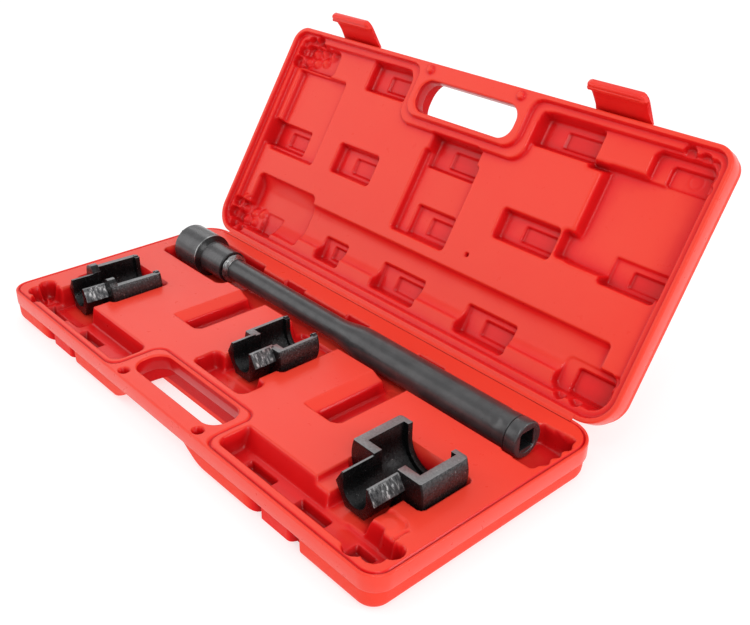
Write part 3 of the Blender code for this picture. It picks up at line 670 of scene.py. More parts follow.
    # the painted shade is cleared from the flat outside, so it keeps its open colour right up to the edge of the hand
    # hole
    value = np.empty(len(me.vertices))
    me.attributes["recess"].data.foreach_get("value", value)
    corner = np.empty(len(me.loops), dtype=np.int32)
    me.loops.foreach_get("vertex_index", corner)
    value = value[corner]
    for f in me.polygons:
        if f.normal.z * up < -0.92 and f.center.z * up < -BAND_H - 0.4:
            value[f.loop_start:f.loop_start + f.loop_total] = 0.0
    me.attributes.remove(me.attributes["recess"])
    me.attributes.new("recess", "FLOAT", "CORNER").data.foreach_set("value", value)
    co = np.empty(len(me.vertices) * 3)
    me.vertices.foreach_get("co", co)
    me.vertices.foreach_set("co", place(co.reshape(-1, 3)).ravel())
    me.update()
    ob = bpy.data.objects.new(name, me)
    bpy.context.scene.collection.objects.link(ob)
    return ob


def mirrored(loops):
    return [(p, -z + RIM_GAP) for p, z in loops]


def shell_loops(height, cap):
    """Loops of the lower half's outside from its flat bottom up to the band at z = cap."""
    loops = []
    r = 7.0
    for k in range(7):
        a = math.pi / 2 * k / 6
        i = r * (1 - math.sin(a))
        loops.append((outline(1.9 + i, 0.9 + i), -height + r * (1 - math.cos(a))))
    loops += [(outline(1.7, 0.8), -BAND_H - 1.5), (outline(1.6, 0.78), -BAND_H - 0.6), (outline(1.2, 0.74), -BAND_H - 0.1),
              (outline(0.8, 0.62), -BAND_H), (outline(0.3, 0.3), -BAND_H + 0.35), (outline(0.0), -BAND_H + 1.2),
              (outline(0.0), cap)]
    return loops


def along_y(points, x, y0, y1):
    """Prism of an x, z outline standing from y0 to y1."""
    return loft([(points, y0), (points, y1)], Matrix(((1, 0, 0, x), (0, 0, 1, 0), (0, 1, 0, 0), (0, 0, 0, 1))))


def latch_recess(x0, x1, z_from, z_to):
    """Cutter for the recess that the latch hooks into: scooped ends and a catch pad between them."""
    quarter = [math.pi / 2 * k / 8 for k in range(9)]
    pts = [(x0 - 8.0, -8.0)]
    pts += [(x0 - 8.0 + 15.0 * math.sin(a), 0.6 + 9.4 * (1 - math.cos(a))) for a in quarter]
    pts += [(x0 + 10.0, 10.0), (x0 + 12.6, 4.6), (x0 + 14.0, 3.7), (x1 - 13.0, 3.7), (x1 - 11.6, 4.6), (x1 - 9.6, 9.0)]
    pts += [(x1 - 6.0 + 9.0 * math.sin(a), 9.0 - 8.4 * (1 - math.cos(a))) for a in quarter]
    pts += [(x1 + 3.0, -8.0)]
    return loft([(pts, z_from), (pts, z_to)])


def handle_cuts(sign):
    """Cutters for the hand hole and for the open room outside the grip, whose ends rise in a curve."""
    hx0, hx1, hy0, hy1 = HANDLE
    z = lambda v: v if sign < 0 else RIM_GAP - v
    left = [(148.0 + 44.0 * k / 10, -BASE_H - 0.7 + (44.0 * k / 10) ** 2 / 123.0) for k in range(11)]
    side = [(140.0, -60.0), (140.0, -BASE_H - 0.7)] + left + [(193.5, -BAND_H + 0.07)]
    side += [(CASE_L - px, pz) for px, pz in reversed(side)]
    room = [(px, z(pz)) for px, pz in side]

    def hole(g):
        return rrect(hx0 - g, hx1 + g, hy0 - g, hy1 + g, 12.0 + g)
    b = [(hole(1.4), z(-41.0)), (hole(1.4), z(-BAND_H - 0.1)), (hole(0.4), z(-BAND_H + 0.5)), (hole(0.0), z(-BAND_H + 1.5)),
         (hole(0.0), z(6.0))]
    if sign > 0:
        b = b[::-1]
    return [along_y(room, 0.0, -8.0, hy1 + 1.5), loft(b)]


CAP = -5.0
base_cutters = [latch_recess(x0, x1, -60.0, -BAND_H - 0.07) for x0, x1 in LATCH_RECESS] + handle_cuts(-1)
base = build_half("case_lower_half", base_height, 1, to_world, shell_loops(BASE_H, CAP), base_cutters, CAP, 0.0)

lid_loops = mirrored(shell_loops(LID_H - RIM_GAP, CAP))
lid = build_half("case_lid_half", lambda x, y: RIM_GAP + lid_depth(x, y), -1, lid_world, lid_loops, handle_cuts(1),
                 RIM_GAP - CAP, RIM_GAP)


# ------------------------------------------------------------------------------------------------ living hinges
def strip(name, profile, x0, x1, step, place):
    """Thin moulded strip: a closed section in (y, z) run along x."""
    n = max(int((x1 - x0) / step), 2)
    bm = bmesh.new()
    rings = []
    for k in range(n + 1):
        x = x0 + (x1 - x0) * k / n
        rings.append([bm.verts.new((x, y, z)) for y, z in profile])
    m = len(profile)
    for a, b in zip(rings[:-1], rings[1:]):
        for i in range(m):
            bm.faces.new((a[i], a[(i + 1) % m], b[(i + 1) % m], b[i]))
    bm.faces.new(list(reversed(rings[0])))
    bm.faces.new(rings[-1])
    bmesh.ops.recalc_face_normals(bm, faces=bm.faces)
    me = bpy.data.meshes.new(name)
    bm.to_mesh(me)
    bm.free()
    co = np.empty(len(me.vertices) * 3)
    me.vertices.foreach_get("co", co)
    me.vertices.foreach_set("co", place(co.reshape(-1, 3)).ravel())
    me.update()
    me.shade_smooth()
    me.set_sharp_from_angle(angle=math.radians(50.0))
    ob = bpy.data.objects.new(name, me)
    bpy.context.scene.collection.objects.link(ob)
    return ob


def hinge_section():
    """Web from the lower half's rim round the fold line on to the lid's rim, lid open."""
    a = math.radians(-LID_OPEN)

    def on_lid(y, z):
        dy, dz = y - HINGE_Y, z - HINGE_Z
        return (HINGE_Y + dy * math.cos(a) - dz * math.sin(a), HINGE_Z + dy * math.sin(a) + dz * math.cos(a))
    inner = [(202.6, 0.12), (203.6, 0.42), (204.6, 0.30), (205.5, 0.42)]
    inner += [on_lid(205.5, -0.02), on_lid(204.6, 0.10), on_lid(203.6, -0.02), on_lid(202.6, 0.28)]
    outer = [on_lid(203.2, 0.9), on_lid(205.2, 0.95), (206.35, 0.0), (205.2, -0.55), (203.2, -0.5)]
    return inner + outer


web = strip("lid_hinge_strip", hinge_section(), 26.0, 434.0, 4.0, to_world)


# ------------------------------------------------------------------------------------------------ latches
def latch_mesh(name, x0, x1):
    """Snap latch drawn hooked shut: plate with hollow flared sides, hook and a ridged lip."""
    mid = (x0 + x1) / 2
    top, tip = LATCH_Z - 2.0, LATCH_Z - LATCH_LEN
    y_in, y_out = LATCH_Y + LATCH_T / 2, LATCH_Y - LATCH_T / 2
    side = [(y_in - 0.5, top + 0.9), (y_in, top)]
    side += [(y_in, top + (-BAND_H + 0.4 - top) * k / 6) for k in range(1, 7)]
    side += [(y_in + 0.25, -BAND_H - 0.3), (y_in + 0.9, -BAND_H - 0.75), (y_in + 2.8, -BAND_H - 0.9), (y_in + 3.4, -BAND_H - 1.1),
             (y_in + 3.7, -BAND_H - 1.6), (y_in + 3.6, -BAND_H - 3.2), (y_in + 2.9, -BAND_H - 3.7), (y_in + 2.8, -BAND_H - 4.2),
             (y_in + 3.3, -BAND_H - 4.7), (y_in + 3.2, tip + 1.0), (y_in + 2.6, tip + 0.3), (y_in + 1.4, tip)]
    side += [(y_out + 0.9, tip), (y_out + 0.2, tip + 0.35), (y_out, tip + 1.2)]
    side += [(y_out, tip + 1.2 + (top - tip - 1.2) * k / 8) for k in range(1, 9)]
    side += [(y_out + 0.5, top + 0.9), (y_out + 1.0, top + 1.2)]
    n = len(side)
    cols = 24
    bm = bmesh.new()
    shade_layer = bm.verts.layers.float.new("recess")
    rings = []
    for k in range(cols + 1):
        u = -1.0 + 2.0 * k / cols
        ring = []
        for y, z in side:
            h = min(max((LATCH_Z - z) / LATCH_LEN, 0.0), 1.0)
            half = float(np.interp(h, (0.0, 0.12, 0.4, 0.6, 0.76, 0.86, 1.0), (24.8, 23.7, 22.5, 23.0, 25.4, 24.6, 23.4)))
            edge = max(0.0, abs(u) - 0.9) / 0.1
            yy = y + (LATCH_Y - y) * 0.35 * edge ** 2
            v = bm.verts.new((mid + u * half, yy, z + 0.9 * edge ** 2 * (1.0 if h > 0.85 else 0.0)))
            # painted shade: the latch takes a little of the plastic's shade tone, less on the hook end
            v[shade_layer] = 0.2 if h < 0.74 else 0.12
            ring.append(v)
        rings.append(ring)
    for a, b in zip(rings[:-1], rings[1:]):
        for i in range(n):
            bm.faces.new((a[i], a[(i + 1) % n], b[(i + 1) % n], b[i]))
    bm.faces.new(list(reversed(rings[0])))
    bm.faces.new(rings[-1])
    bmesh.ops.recalc_face_normals(bm, faces=bm.faces)
    me = bpy.data.meshes.new(name)
    bm.to_mesh(me)
    bm.free()
    co = np.empty(len(me.vertices) * 3)
    me.vertices.foreach_get("co", co)
    co = turn_x(co.reshape(-1, 3), LATCH_Y, LATCH_Z, -LATCH_OPEN)
    me.vertices.foreach_set("co", lid_world(co).ravel())
    me.update()
    me.shade_smooth()
    me.set_sharp_from_angle(angle=math.radians(42.0))
    ob = bpy.data.objects.new(name, me)
    bpy.context.scene.collection.objects.link(ob)
    return ob


latches, latch_strips = [], []
for label, (x0, x1) in zip(("left", "right"), LATCH_X):
    latches.append(latch_mesh("snap_latch_" + label, x0, x1))
    a = math.radians(-LATCH_OPEN)

    def on_latch(y, z):
        dy, dz = y - LATCH_Y, z - LATCH_Z
        return (LATCH_Y + dy * math.cos(a) - dz * math.sin(a), LATCH_Z + dy * math.sin(a) + dz * math.cos(a))
    section = [(0.6, LATCH_Z + 1.0), (-0.4, LATCH_Z + 0.9), (LATCH_Y + 0.2, LATCH_Z + 0.55)]
    section += [on_latch(LATCH_Y + 0.5, LATCH_Z - 1.6), on_latch(LATCH_Y + 0.4, LATCH_Z - 2.6), on_latch(LATCH_Y - 0.5, LATCH_Z - 2.6),
                on_latch(LATCH_Y - 0.5, LATCH_Z - 1.2)]
    section += [(LATCH_Y - 0.4, LATCH_Z + 0.5), (LATCH_Y - 0.2, LATCH_Z + 1.9), (0.6, LATCH_Z + 2.6)]
    latch_strips.append(strip("latch_strip_" + label, section, x0 + 1.0, x1 - 1.0, 3.0, lid_world))


# ------------------------------------------------------------------------------------------------ tube tool
def turned(name, profile, steps, sharp=38.0, shape=None):
    """Turned body about the tool's axis; the profile [(x, radius), ...] closes on itself.

    shape(x, angle, radius) may press the round section out of true."""
    bm = bmesh.new()
    rings = []
    for i in range(steps):
        a = 2.0 * math.pi * i / steps
        ring = []
        for x, r in profile:
            if shape is not None:
                r = shape(x, a, r)
            ring.append(bm.verts.new((x, TOOL_Y + r * math.sin(a), TOOL_Z + r * math.cos(a))))
        rings.append(ring)
    m = len(profile)
    for i in range(steps):
        here, there = rings[i], rings[(i + 1) % steps]
        for k in range(m):
            bm.faces.new((here[k], here[(k + 1) % m], there[(k + 1) % m], there[k]))
    bmesh.ops.recalc_face_normals(bm, faces=bm.faces)
    me = bpy.data.meshes.new(name)
    bm.to_mesh(me)
    bm.free()
    co = np.empty(len(me.vertices) * 3)
    me.vertices.foreach_get("co", co)
    me.vertices.foreach_set("co", to_world(co.reshape(-1, 3)).ravel())
    me.update()
    me.shade_smooth()
    me.set_sharp_from_angle(angle=math.radians(sharp))
    ob = bpy.data.objects.new(name, me)
    bpy.context.scene.collection.objects.link(ob)
    return ob


def arc(cx, cr, r, a0, a1, n=5):
    """Rounded corner of a turned profile."""
    return [(cx + r * math.cos(math.radians(a0 + (a1 - a0) * k / n)), cr + r * math.sin(math.radians(a0 + (a1 - a0) * k / n)))
            for k in range(n + 1)]


HEX_IN = 30.3 / 2 + 0.35


def hex_mouth(x, a, r):
    """Sections marked with a negative radius follow the hexagon of the socket."""
    if r >= 0.0:
        return r
    k = (a + math.pi / 6) % (math.pi / 3) - math.pi / 6
    return -r * HEX_IN / math.cos(k)


bell = turned("tool_bell_end",
              arc(26.3, 17.75, 1.3, 180, 90) + [(40.0, 19.05), (57.4, 19.05)] + arc(58.0, 18.05, 1.0, 84, 20, 4) +
              [(60.4, 16.2)] + arc(62.6, 15.6, 1.3, 200, 270, 4) + [(76.0, 14.3), (88.8, 14.3)] + arc(89.6, 12.9, 1.4, 90, 0, 4) +
              [(91.0, 9.85), (58.0, 9.85), (56.5, 11.0), (53.0, 11.6), (52.6, 12.2), (52.4, -0.97), (52.0, -1.0), (27.4, -1.0),
               (25.6, -1.045), (25.0, -1.06)],
              96, 34.0, hex_mouth)
weld = turned("tool_weld_bead",
              arc(92.4, 11.6, 1.05, 180, 90, 4) + arc(93.4, 11.4, 1.2, 80, 20, 3) + [(94.9, 11.3)] + arc(95.1, 10.4, 0.9, 80, 0, 4) +
              [(96.6, 9.86), (91.35, 9.86)], 96, 50.0,
              lambda x, a, r: r + (0.16 * math.sin(9 * a + x) + 0.1 * math.sin(17 * a + 2.2 * x) if r > 10.0 else 0.0))


def tube_profile():
    pts = [(66.0, 9.525)]
    pts += [(66.0 + k * (235.0 - 66.0) / 24, 9.525) for k in range(1, 25)]
    for k in range(1, 25):
        u = k / 24
        pts.append((235.0 + 33.0 * u, 9.525 + (13.35 - 9.525) * (u * u * (3 - 2 * u))))
    pts += [(268.0 + k * (402.0 - 268.0) / 20, 13.35) for k in range(1, 21)]
    pts += [(402.0 + 0.8 * k, 13.35) for k in range(1, 20)]
    pts += arc(417.9, 12.55, 0.8, 90, 0, 3)
    pts += [(418.7, 10.75), (268.0, 10.75), (235.0, 7.525), (66.0, 7.525)]
    return pts


def dents(x, a, r):
    """Press marks that hold the drive end in the tube."""
    if r < 11.5 or x < 400.0:
        return r
    for k in range(4):
        da = (a - (math.pi / 4 + k * math.pi / 2) + math.pi) % (2 * math.pi) - math.pi
        r -= 0.75 * math.exp(-((x - 409.5) / 2.6) ** 2 - (da * 13.35 / 3.4) ** 2)
    return r


tube = turned("tool_tube_body", tube_profile(), 96, 40.0, dents)


def square_mouth(x, a, r):
    """Sections marked with a negative radius follow the rounded square of the drive hole."""
    if r >= 0.0:
        return r
    h = 6.45 * -r
    c, s = abs(math.cos(a)), abs(math.sin(a))
    flat = h / max(c, s)
    return min(flat, h * 1.36)


drive = turned("tool_drive_end",
               [(396.0, 9.4), (397.0, 10.4), (418.9, 10.4), (418.95, 12.9)] + arc(419.8, 12.9, 0.8, 180, 90, 3) + [(427.6, 13.7)] +
               arc(427.6, 12.3, 1.4, 80, 0, 5) + [(429.0, 9.9), (428.4, 9.4), (428.2, -1.06), (427.6, -1.0), (405.5, -1.0), (405.0, -0.9),
                                                  (404.6, 3.2), (396.0, 3.2)],
               96, 36.0, square_mouth)


# ------------------------------------------------------------------------------------------------ crowfoot adapters
def u_shape(r, z_axis, z_top, seg=40):
    pts = [(-r * math.cos(math.pi * k / seg), z_axis - r * math.sin(math.pi * k / seg)) for k in range(seg + 1)]
    return pts + [(r, z_top), (-r, z_top)]


def barrel(r, z_axis, z_top, z_low, seg=56):
    """Round outline in x, z, cut flat at z_top and at z_low."""
    rise = math.asin((z_top - z_axis) / r)
    turn = [math.pi - rise + (math.pi + 2.0 * rise) * k / seg for k in range(seg + 1)]
    return [(r * math.cos(t), max(z_axis + r * math.sin(t), z_low)) for t in turn]


def round_top(mid, half, top, foot):
    """Outline in x, z of an upright with a half-round head."""
    pts = [(mid + half * math.cos(math.pi * k / 24), top - half + half * math.sin(math.pi * k / 24)) for k in range(25)]
    return pts + [(mid - half, foot), (mid + half, foot)]


def adapter(name, x, z_axis, tail, shoulder, pocket_end, far, r_out, r_in, r_lip, bore, arm_top, lug, z_low, yaw, nub):
    """Hexagonal tail and open jaw with a lip round its far end; lug is the height of round ears on the shoulder."""
    round_far = 2.6
    levels = [(barrel(r_out - 0.8, z_axis, arm_top, z_low), shoulder), (barrel(r_out, z_axis, arm_top, z_low), shoulder + 0.9)]
    for k in range(7):
        t = math.pi / 2 * k / 6
        levels.append((barrel(r_out - round_far * (1 - math.cos(t)), z_axis, arm_top, z_low), far - round_far + round_far * math.sin(t)))
    body = obj_from(loft(levels, Matrix(((1, 0, 0, x), (0, 0, 1, 0), (0, 1, 0, 0), (0, 0, 0, 1)))), name)
    hr = 30.3 / 2 / math.cos(math.pi / 6)
    flat = hr - 9.8 / math.sqrt(3.0)
    hexa = [(hr, z_axis), (flat, z_axis + 9.8), (-flat, z_axis + 9.8), (-hr, z_axis), (-hr / 2, z_axis - 15.15),
            (hr / 2, z_axis - 15.15)]
    cut(body, along_y(hexa, x, tail, shoulder + 2.0), "UNION")
    wall = shoulder + 6.5
    edge = math.sqrt(r_out ** 2 - (arm_top - z_axis) ** 2)
    if lug > arm_top:
        half = (edge - bore) / 2.0
        for way in (-1.0, 1.0):
            cut(body, along_y(round_top(way * (bore + half), half, lug, z_axis), x, shoulder, wall), "UNION")
    if nub > 0.0:
        half = (edge - 1.2 - r_lip) / 2.0
        for way in (-1.0, 1.0):
            cut(body, along_y(round_top(way * (r_lip + half), half, arm_top + nub, z_axis), x, pocket_end + 0.4, far - 0.5), "UNION")
    cut(body, along_y(u_shape(r_in, z_axis, lug + 9.0), x, wall, pocket_end))
    cut(body, along_y(u_shape(r_lip, z_axis, lug + 9.5), x, pocket_end - 1.0, far + 3.0))
    cut(body, along_y(u_shape(bore, z_axis, lug + 10.0), x, tail - 3.0, wall + 1.0))
    me = body.data
    for f in me.polygons:
        c, n = f.center, f.normal
        if n.z > 0.98 and c.z > z_axis + 2.0:
            f.material_index = 1                                     # milled tops, made lighter as painted light from above
        elif c.y < shoulder and n.z > 0.3 and n.x > 0.7 and c.x > x + bore:
            f.material_index = 2                                     # scratched flat of the tail
        elif c.y > shoulder + 0.8 and n.x > 0.75 and c.x > x + 0.6 * r_out:
            f.material_index = 4                                     # coarse casting skin of the outer side, lighter there as painted sheen
    bev = body.modifiers.new("edges", "BEVEL")
    bev.width = 0.7
    bev.segments = 2
    bev.limit_method = "ANGLE"
    bev.angle_limit = math.radians(38.0)
    bev.harden_normals = False
    bev.material = 3                                                 # edge wear and painted edge highlight
    evaluated_mesh(body)
    me = body.data
    co = np.empty(len(me.vertices) * 3)
    me.vertices.foreach_get("co", co)
    co = co.reshape(-1, 3)
    mid = (tail + far) / 2.0
    a = math.radians(yaw)
    dx, dy = co[:, 0] - x, co[:, 1] - mid
    co = np.stack([x + dx * math.cos(a) - dy * math.sin(a), mid + dx * math.sin(a) + dy * math.cos(a), co[:, 2]], 1)
    me.vertices.foreach_set("co", to_world(co).ravel())
    me.update()
    me.shade_smooth()
    me.set_sharp_from_angle(angle=math.radians(30.0))
    return body


small = adapter("crowfoot_small", 53.4, -0.6, 36.6, 55.5, 97.5, 101.5, 26.0, 19.3, 16.0, 9.8, 10.0, 14.8, -24.9, -3.0, 1.0)
medium = adapter("crowfoot_medium", 232.4, 5.4, 74.5, 93.0, 127.0, 131.0, 22.5, 18.0, 14.8, 9.8, 14.0, 14.0, -18.0, 0.0, 1.4)
large = adapter("crowfoot_large", 401.2, 5.5, 37.5, 62.5, 100.0, 104.0, 32.4, 23.2, 19.0, 10.3, 17.0, 17.0, -25.5, 0.0, 0.0)


# ------------------------------------------------------------------------------------------------ materials
def new_material(name):
    mat = bpy.data.materials.new(name)
    mat.use_nodes = True
    nt = mat.node_tree
    return mat, nt, nt.nodes["Principled BSDF"]


def noise(nt, scale, detail=3.0, rough=0.5, source="Object"):
    coord = nt.nodes.new("ShaderNodeTexCoord")
    tex = nt.nodes.new("ShaderNodeTexNoise")
    tex.inputs["Scale"].default_value = scale
    tex.inputs["Detail"].default_value = detail
    tex.inputs["Roughness"].default_value = rough
    nt.links.new(coord.outputs[source], tex.inputs["Vector"])
    return tex.outputs["Fac"]


def ramp(nt, fac, stops):
    node = nt.nodes.new("ShaderNodeValToRGB")
    els = node.color_ramp.elements
    while len(els) < len(stops):
        els.new(0.5)
    for el, (pos, col) in zip(els, stops):
        el.position = pos
        el.color = col
    nt.links.new(fac, node.inputs["Fac"])
    return node.outputs["Color"]


def bump(nt, height, strength, distance, normal=None):
    node = nt.nodes.new("ShaderNodeBump")
    node.inputs["Strength"].default_value = strength
    node.inputs["Distance"].default_value = distance
    nt.links.new(height, node.inputs["Height"])
    if normal is not None:
        nt.links.new(normal, node.inputs["Normal"])
    return node.outputs["Normal"]


def red_plastic(name, grain):
    """Moulded red plastic whose colour carries painted shade, turning a deeper red where the recess attribute marks it
    shut in by its surroundings.
    """
    mat, nt, p = new_material(name)
    recess = nt.nodes.new("ShaderNodeAttribute")
    recess.attribute_name = "recess"
    tone = nt.nodes.new("ShaderNodeMath")
    tone.operation = "MULTIPLY_ADD"
    tone.inputs[1].default_value = 0.14
    nt.links.new(noise(nt, 34.0, 4.0, 0.6), tone.inputs[0])
    nt.links.new(recess.outputs["Fac"], tone.inputs[2])
    # painted shade: darker and deeper red as the recess value rises; the paler orange open colour also holds a painted
    # sheen
    base_col = ramp(nt, tone.outputs["Value"], [(0.0, (0.86, 0.058, 0.030, 1)), (0.13, (0.85, 0.046, 0.026, 1)),
                                                (0.30, (0.78, 0.011, 0.012, 1)), (0.50, (0.60, 0.005, 0.007, 1)),
                                                (0.85, (0.30, 0.002, 0.003, 1))])
    nt.links.new(base_col, p.inputs["Base Color"])
    lo, hi = ((0.42, 0.52) if grain else (0.27, 0.36))
    r = ramp(nt, noise(nt, 160.0, 3.0, 0.6), [(0.3, (lo, lo, lo, 1)), (0.7, (hi, hi, hi, 1))])
    nt.links.new(r, p.inputs["Roughness"])
    n = bump(nt, noise(nt, 2600.0 if not grain else 1100.0, 2.0, 0.6), 0.08 if not grain else 0.5, 0.0004)
    nt.links.new(n, p.inputs["Normal"])
    p.inputs["Specular IOR Level"].default_value = 0.08 if grain else 0.12
    p.inputs["Coat Weight"].default_value = 0.03 if grain else 0.3
    p.inputs["Coat Roughness"].default_value = 0.2
    return mat


def black_steel(name, dark, light, lo, hi, grain, glint=None, scale=1800.0, metal=0.85, coarse=0.0003, coat=0.0):
    """Blackened steel; glint adds bright specks of bare metal."""
    mat, nt, p = new_material(name)
    stops = [(0.3, (*dark, 1)), (0.66, (*light, 1))]
    fac = noise(nt, 90.0, 5.0, 0.6)
    if glint is not None:
        fac = noise(nt, 620.0, 6.0, 0.72)
        stops += [(0.70, (*glint, 1))]
    nt.links.new(ramp(nt, fac, stops), p.inputs["Base Color"])
    r = ramp(nt, noise(nt, 240.0, 4.0, 0.6), [(0.3, (lo, lo, lo, 1)), (0.7, (hi, hi, hi, 1))])
    nt.links.new(r, p.inputs["Roughness"])
    n = bump(nt, noise(nt, scale, 3.0, 0.6), grain, coarse)
    nt.links.new(n, p.inputs["Normal"])
    p.inputs["Metallic"].default_value = metal
    p.inputs["Coat Weight"].default_value = coat
    p.inputs["Coat Roughness"].default_value = 0.16
    return mat


def scratched_steel(name):
    """Flat rubbed bright in streaks."""
    mat, nt, p = new_material(name)
    coord = nt.nodes.new("ShaderNodeTexCoord")
    turn = nt.nodes.new("ShaderNodeMapping")
    turn.inputs["Rotation"].default_value = (0.3, 0.5, 0.7)
    turn.inputs["Scale"].default_value = (70.0, 520.0, 240.0)
    nt.links.new(coord.outputs["Object"], turn.inputs["Vector"])
    tex = nt.nodes.new("ShaderNodeTexNoise")
    tex.inputs["Scale"].default_value = 1.0
    tex.inputs["Detail"].default_value = 6.0
    tex.inputs["Roughness"].default_value = 0.7
    nt.links.new(turn.outputs["Vector"], tex.inputs["Vector"])
    nt.links.new(ramp(nt, tex.outputs["Fac"], [(0.38, (0.02, 0.02, 0.022, 1)), (0.55, (0.10, 0.10, 0.102, 1)), (0.66, (0.5, 0.5, 0.5, 1))]),
                 p.inputs["Base Color"])
    nt.links.new(ramp(nt, tex.outputs["Fac"], [(0.3, (0.26, 0.26, 0.26, 1)), (0.7, (0.42, 0.42, 0.42, 1))]), p.inputs["Roughness"])
    nt.links.new(bump(nt, tex.outputs["Fac"], 0.6, 0.0006), p.inputs["Normal"])
    p.inputs["Metallic"].default_value = 0.85
    return mat


red = red_plastic("red_moulded", False)
red_grain = red_plastic("red_spark_grain", True)
for ob in (base, lid):
    ob.data.materials.append(red)
    ob.data.materials.append(red_grain)
for ob in [web] + latches + latch_strips:
    ob.data.materials.append(red)
steel = black_steel("black_oxide_turned", (0.044, 0.044, 0.046), (0.074, 0.074, 0.077), 0.24, 0.36, 0.12, metal=0.35, coat=0.25)
# painted shade: near-black steel for the step faces that look along the tool and for the drive bore
shoulder = black_steel("shoulder_painted_shade", (0.004, 0.004, 0.005), (0.012, 0.012, 0.013), 0.22, 0.34, 0.1, metal=0.2)
# painted highlight: light steel for the shoulder's edge ring and the weld bead
bright = black_steel("ring_painted_highlight", (0.10, 0.10, 0.102), (0.42, 0.42, 0.42), 0.2, 0.34, 0.25, metal=0.9)
tube_steel = black_steel("black_oxide_tube", (0.036, 0.036, 0.038), (0.062, 0.062, 0.064), 0.27, 0.4, 0.2, metal=0.3, coat=0.25)
cast = black_steel("black_casting", (0.005, 0.005, 0.0055), (0.022, 0.022, 0.023), 0.2, 0.36, 0.9, (0.6, 0.6, 0.6), 1500.0, 0.75, coat=0.06)
# painted light: lighter steel for the upward-facing milled tops
milled = black_steel("milled_tops_painted_light", (0.17, 0.17, 0.174), (0.29, 0.29, 0.294), 0.3, 0.44, 0.4, (0.7, 0.7, 0.7), 1200.0)
scratched = scratched_steel("scratched_flat")
# edge wear and painted edge highlight: bright steel with near-white specks on the bevels
worn = black_steel("worn_edges_painted_highlight", (0.10, 0.10, 0.102), (0.5, 0.5, 0.5), 0.2, 0.34, 0.5, (0.95, 0.95, 0.95), 900.0, 0.9)
# painted sheen: lighter speckled steel for the right-facing outer sides of the adapters
skin = black_steel("coarse_casting_painted_sheen", (0.012, 0.012, 0.013), (0.10, 0.10, 0.102), 0.2, 0.34, 1.0, (0.7, 0.7, 0.7), 900.0, 0.8)
for ob in (bell, weld, drive):
    for m in (steel, shoulder, bright):
        ob.data.materials.append(m)
for f in bell.data.polygons:
    cx = f.center.x / MM + CASE_L / 2
    r = math.hypot(f.center.y / MM + CASE_W / 2 - TOOL_Y, f.center.z / MM - BASE_H - TOOL_Z)
    # painted shade on step faces turned along +x
    if r > 9.0 and f.normal.x > 0.5:
        f.material_index = 1
    # painted highlight on the rounded edge of the shoulder
    elif 57.2 < cx < 58.6 and r > 15.2:
        f.material_index = 2
# painted highlight over the whole weld bead
for f in weld.data.polygons:
    f.material_index = 2
for f in drive.data.polygons:
    cx = f.center.x / MM + CASE_L / 2
    r = math.hypot(f.center.y / MM + CASE_W / 2 - TOOL_Y, f.center.z / MM - BASE_H - TOOL_Z)
    # painted shade on the collar's step faces and inside the square drive hole
    if (cx < 421.0 and abs(f.normal.x) > 0.25) or (r < 9.3 and cx < 428.3):
        f.material_index = 1
tube.data.materials.append(tube_steel)
for ob in (small, medium, large):
    for m in (cast, milled, scratched, worn, skin):
        ob.data.materials.append(m)

# ------------------------------------------------------------------------------------------------ bodies
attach(base, "base"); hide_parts("case_base")
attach(lid, "lid"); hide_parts("case_lid")
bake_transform(web)
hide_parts("lid_hinge_web")
for label, ob, st in zip(("left", "right"), latches, latch_strips):
    body = "latch_" + label[0]
    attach(ob, body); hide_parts("latch_" + label)
    middle = (LATCH_X[0] if label == "left" else LATCH_X[1])
    middle = (middle[0] + middle[1]) / 2
    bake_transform(st)
    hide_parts("latch_web_" + label)
for ob, node in ((tube, "tool_tube"), (bell, "tool_bell"), (weld, "tool_weld_ring"), (drive, "tool_drive_socket")):
    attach(ob, "tube_tool"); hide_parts(node)
for ob, node, body in ((small, "adapter_small", "small_adapter"), (medium, "adapter_medium", "medium_adapter"),
                       (large, "adapter_large", "large_adapter")):
    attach(ob, body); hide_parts(node)

# ------------------------------------------------------------------------------------------------ floor, light, camera
bm = bmesh.new()
bmesh.ops.create_grid(bm, x_segments=8, y_segments=8, size=6.0)
floor = obj_from(bm, "floor")
mat, nt, p = new_material("pale_floor")
nt.links.new(ramp(nt, noise(nt, 3.0), [(0.3, (0.44, 0.44, 0.44, 1)), (0.7, (0.46, 0.46, 0.46, 1))]), p.inputs["Base Color"])
p.inputs["Roughness"].default_value = 0.9
p.inputs["Emission Color"].default_value = (1.0, 1.0, 1.0, 1.0)
p.inputs["Emission Strength"].default_value = 0.62
floor.data.materials.append(mat)

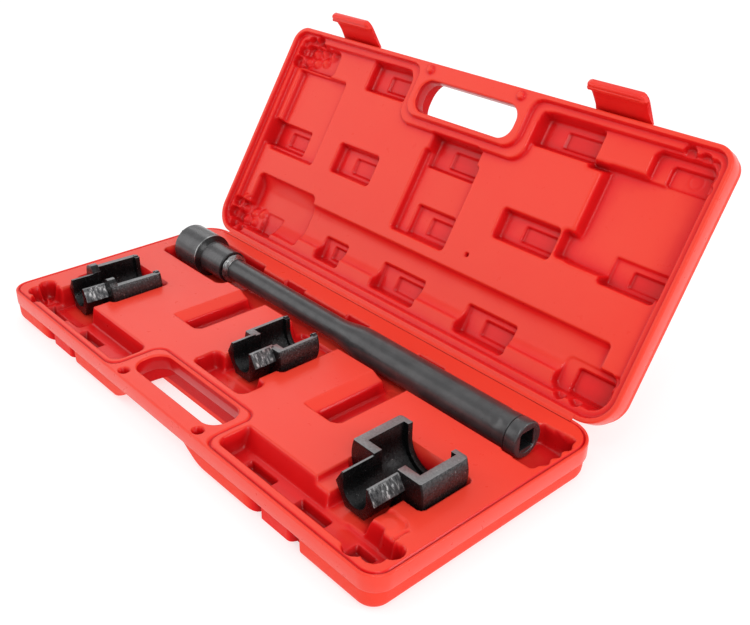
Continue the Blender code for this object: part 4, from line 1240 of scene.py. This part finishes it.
scene = bpy.context.scene
world = bpy.data.worlds.new("studio")
scene.world = world
world.use_nodes = True
world.node_tree.nodes["Background"].inputs["Color"].default_value = (1.0, 1.0, 1.0, 1.0)
world.node_tree.nodes["Background"].inputs["Strength"].default_value = 0.68


def area(name, at, to, size, power):
    data = bpy.data.lights.new(name, "AREA")
    data.energy = power
    data.shape = "RECTANGLE"
    data.size, data.size_y = size
    ob = bpy.data.objects.new(name, data)
    ob.location = at
    ob.rotation_euler = (Vector(to) - Vector(at)).to_track_quat("-Z", "Y").to_euler()
    scene.collection.objects.link(ob)
    return ob


area("top", (-0.3, 0.3, 2.5), (0.0, 0.0, 0.05), (2.4, 2.4), 8.0)
area("front", (-1.85, -1.35, 1.15), (0.0, 0.0, 0.08), (1.9, 1.5), 9.5)
area("back", (-1.9, 1.15, 1.45), (0.0, 0.0, 0.06), (1.2, 1.0), 3.4)
area("strip", (1.75, 1.0, 0.75), (0.1, 0.0, 0.06), (0.3, 0.8), 6.0)
area("right", (1.6, -0.7, 1.3), (0.0, 0.0, 0.08), (1.0, 0.9), 11.0)
area("key", (0.6, -0.62, 1.5), (0.1, -0.05, 0.05), (0.26, 0.26), 2.0)

cam = bpy.data.cameras.new("view")
cam.sensor_width = 36.0
cam.sensor_fit = "HORIZONTAL"
cam.lens = 963.073 / 750.0 * 36.0
cam.clip_start, cam.clip_end = 0.02, 40.0
cam_ob = bpy.data.objects.new("view", cam)
right = Vector((0.66991707, 0.74225667, 0.01631425))
down = Vector((0.36721744, -0.31217089, -0.87618531))
ahead = Vector((-0.64526155, 0.59296237, -0.4816982))
cam_ob.matrix_world = Matrix((
    (right.x, -down.x, -ahead.x, 0.51087),
    (right.y, -down.y, -ahead.y, -0.36371),
    (right.z, -down.z, -ahead.z, 0.40577),
    (0.0, 0.0, 0.0, 1.0)))
scene.collection.objects.link(cam_ob)
scene.camera = cam_ob
scene.view_settings.view_transform = "Standard"
scene.view_settings.look = "None"

bpy.context.view_layer.update()
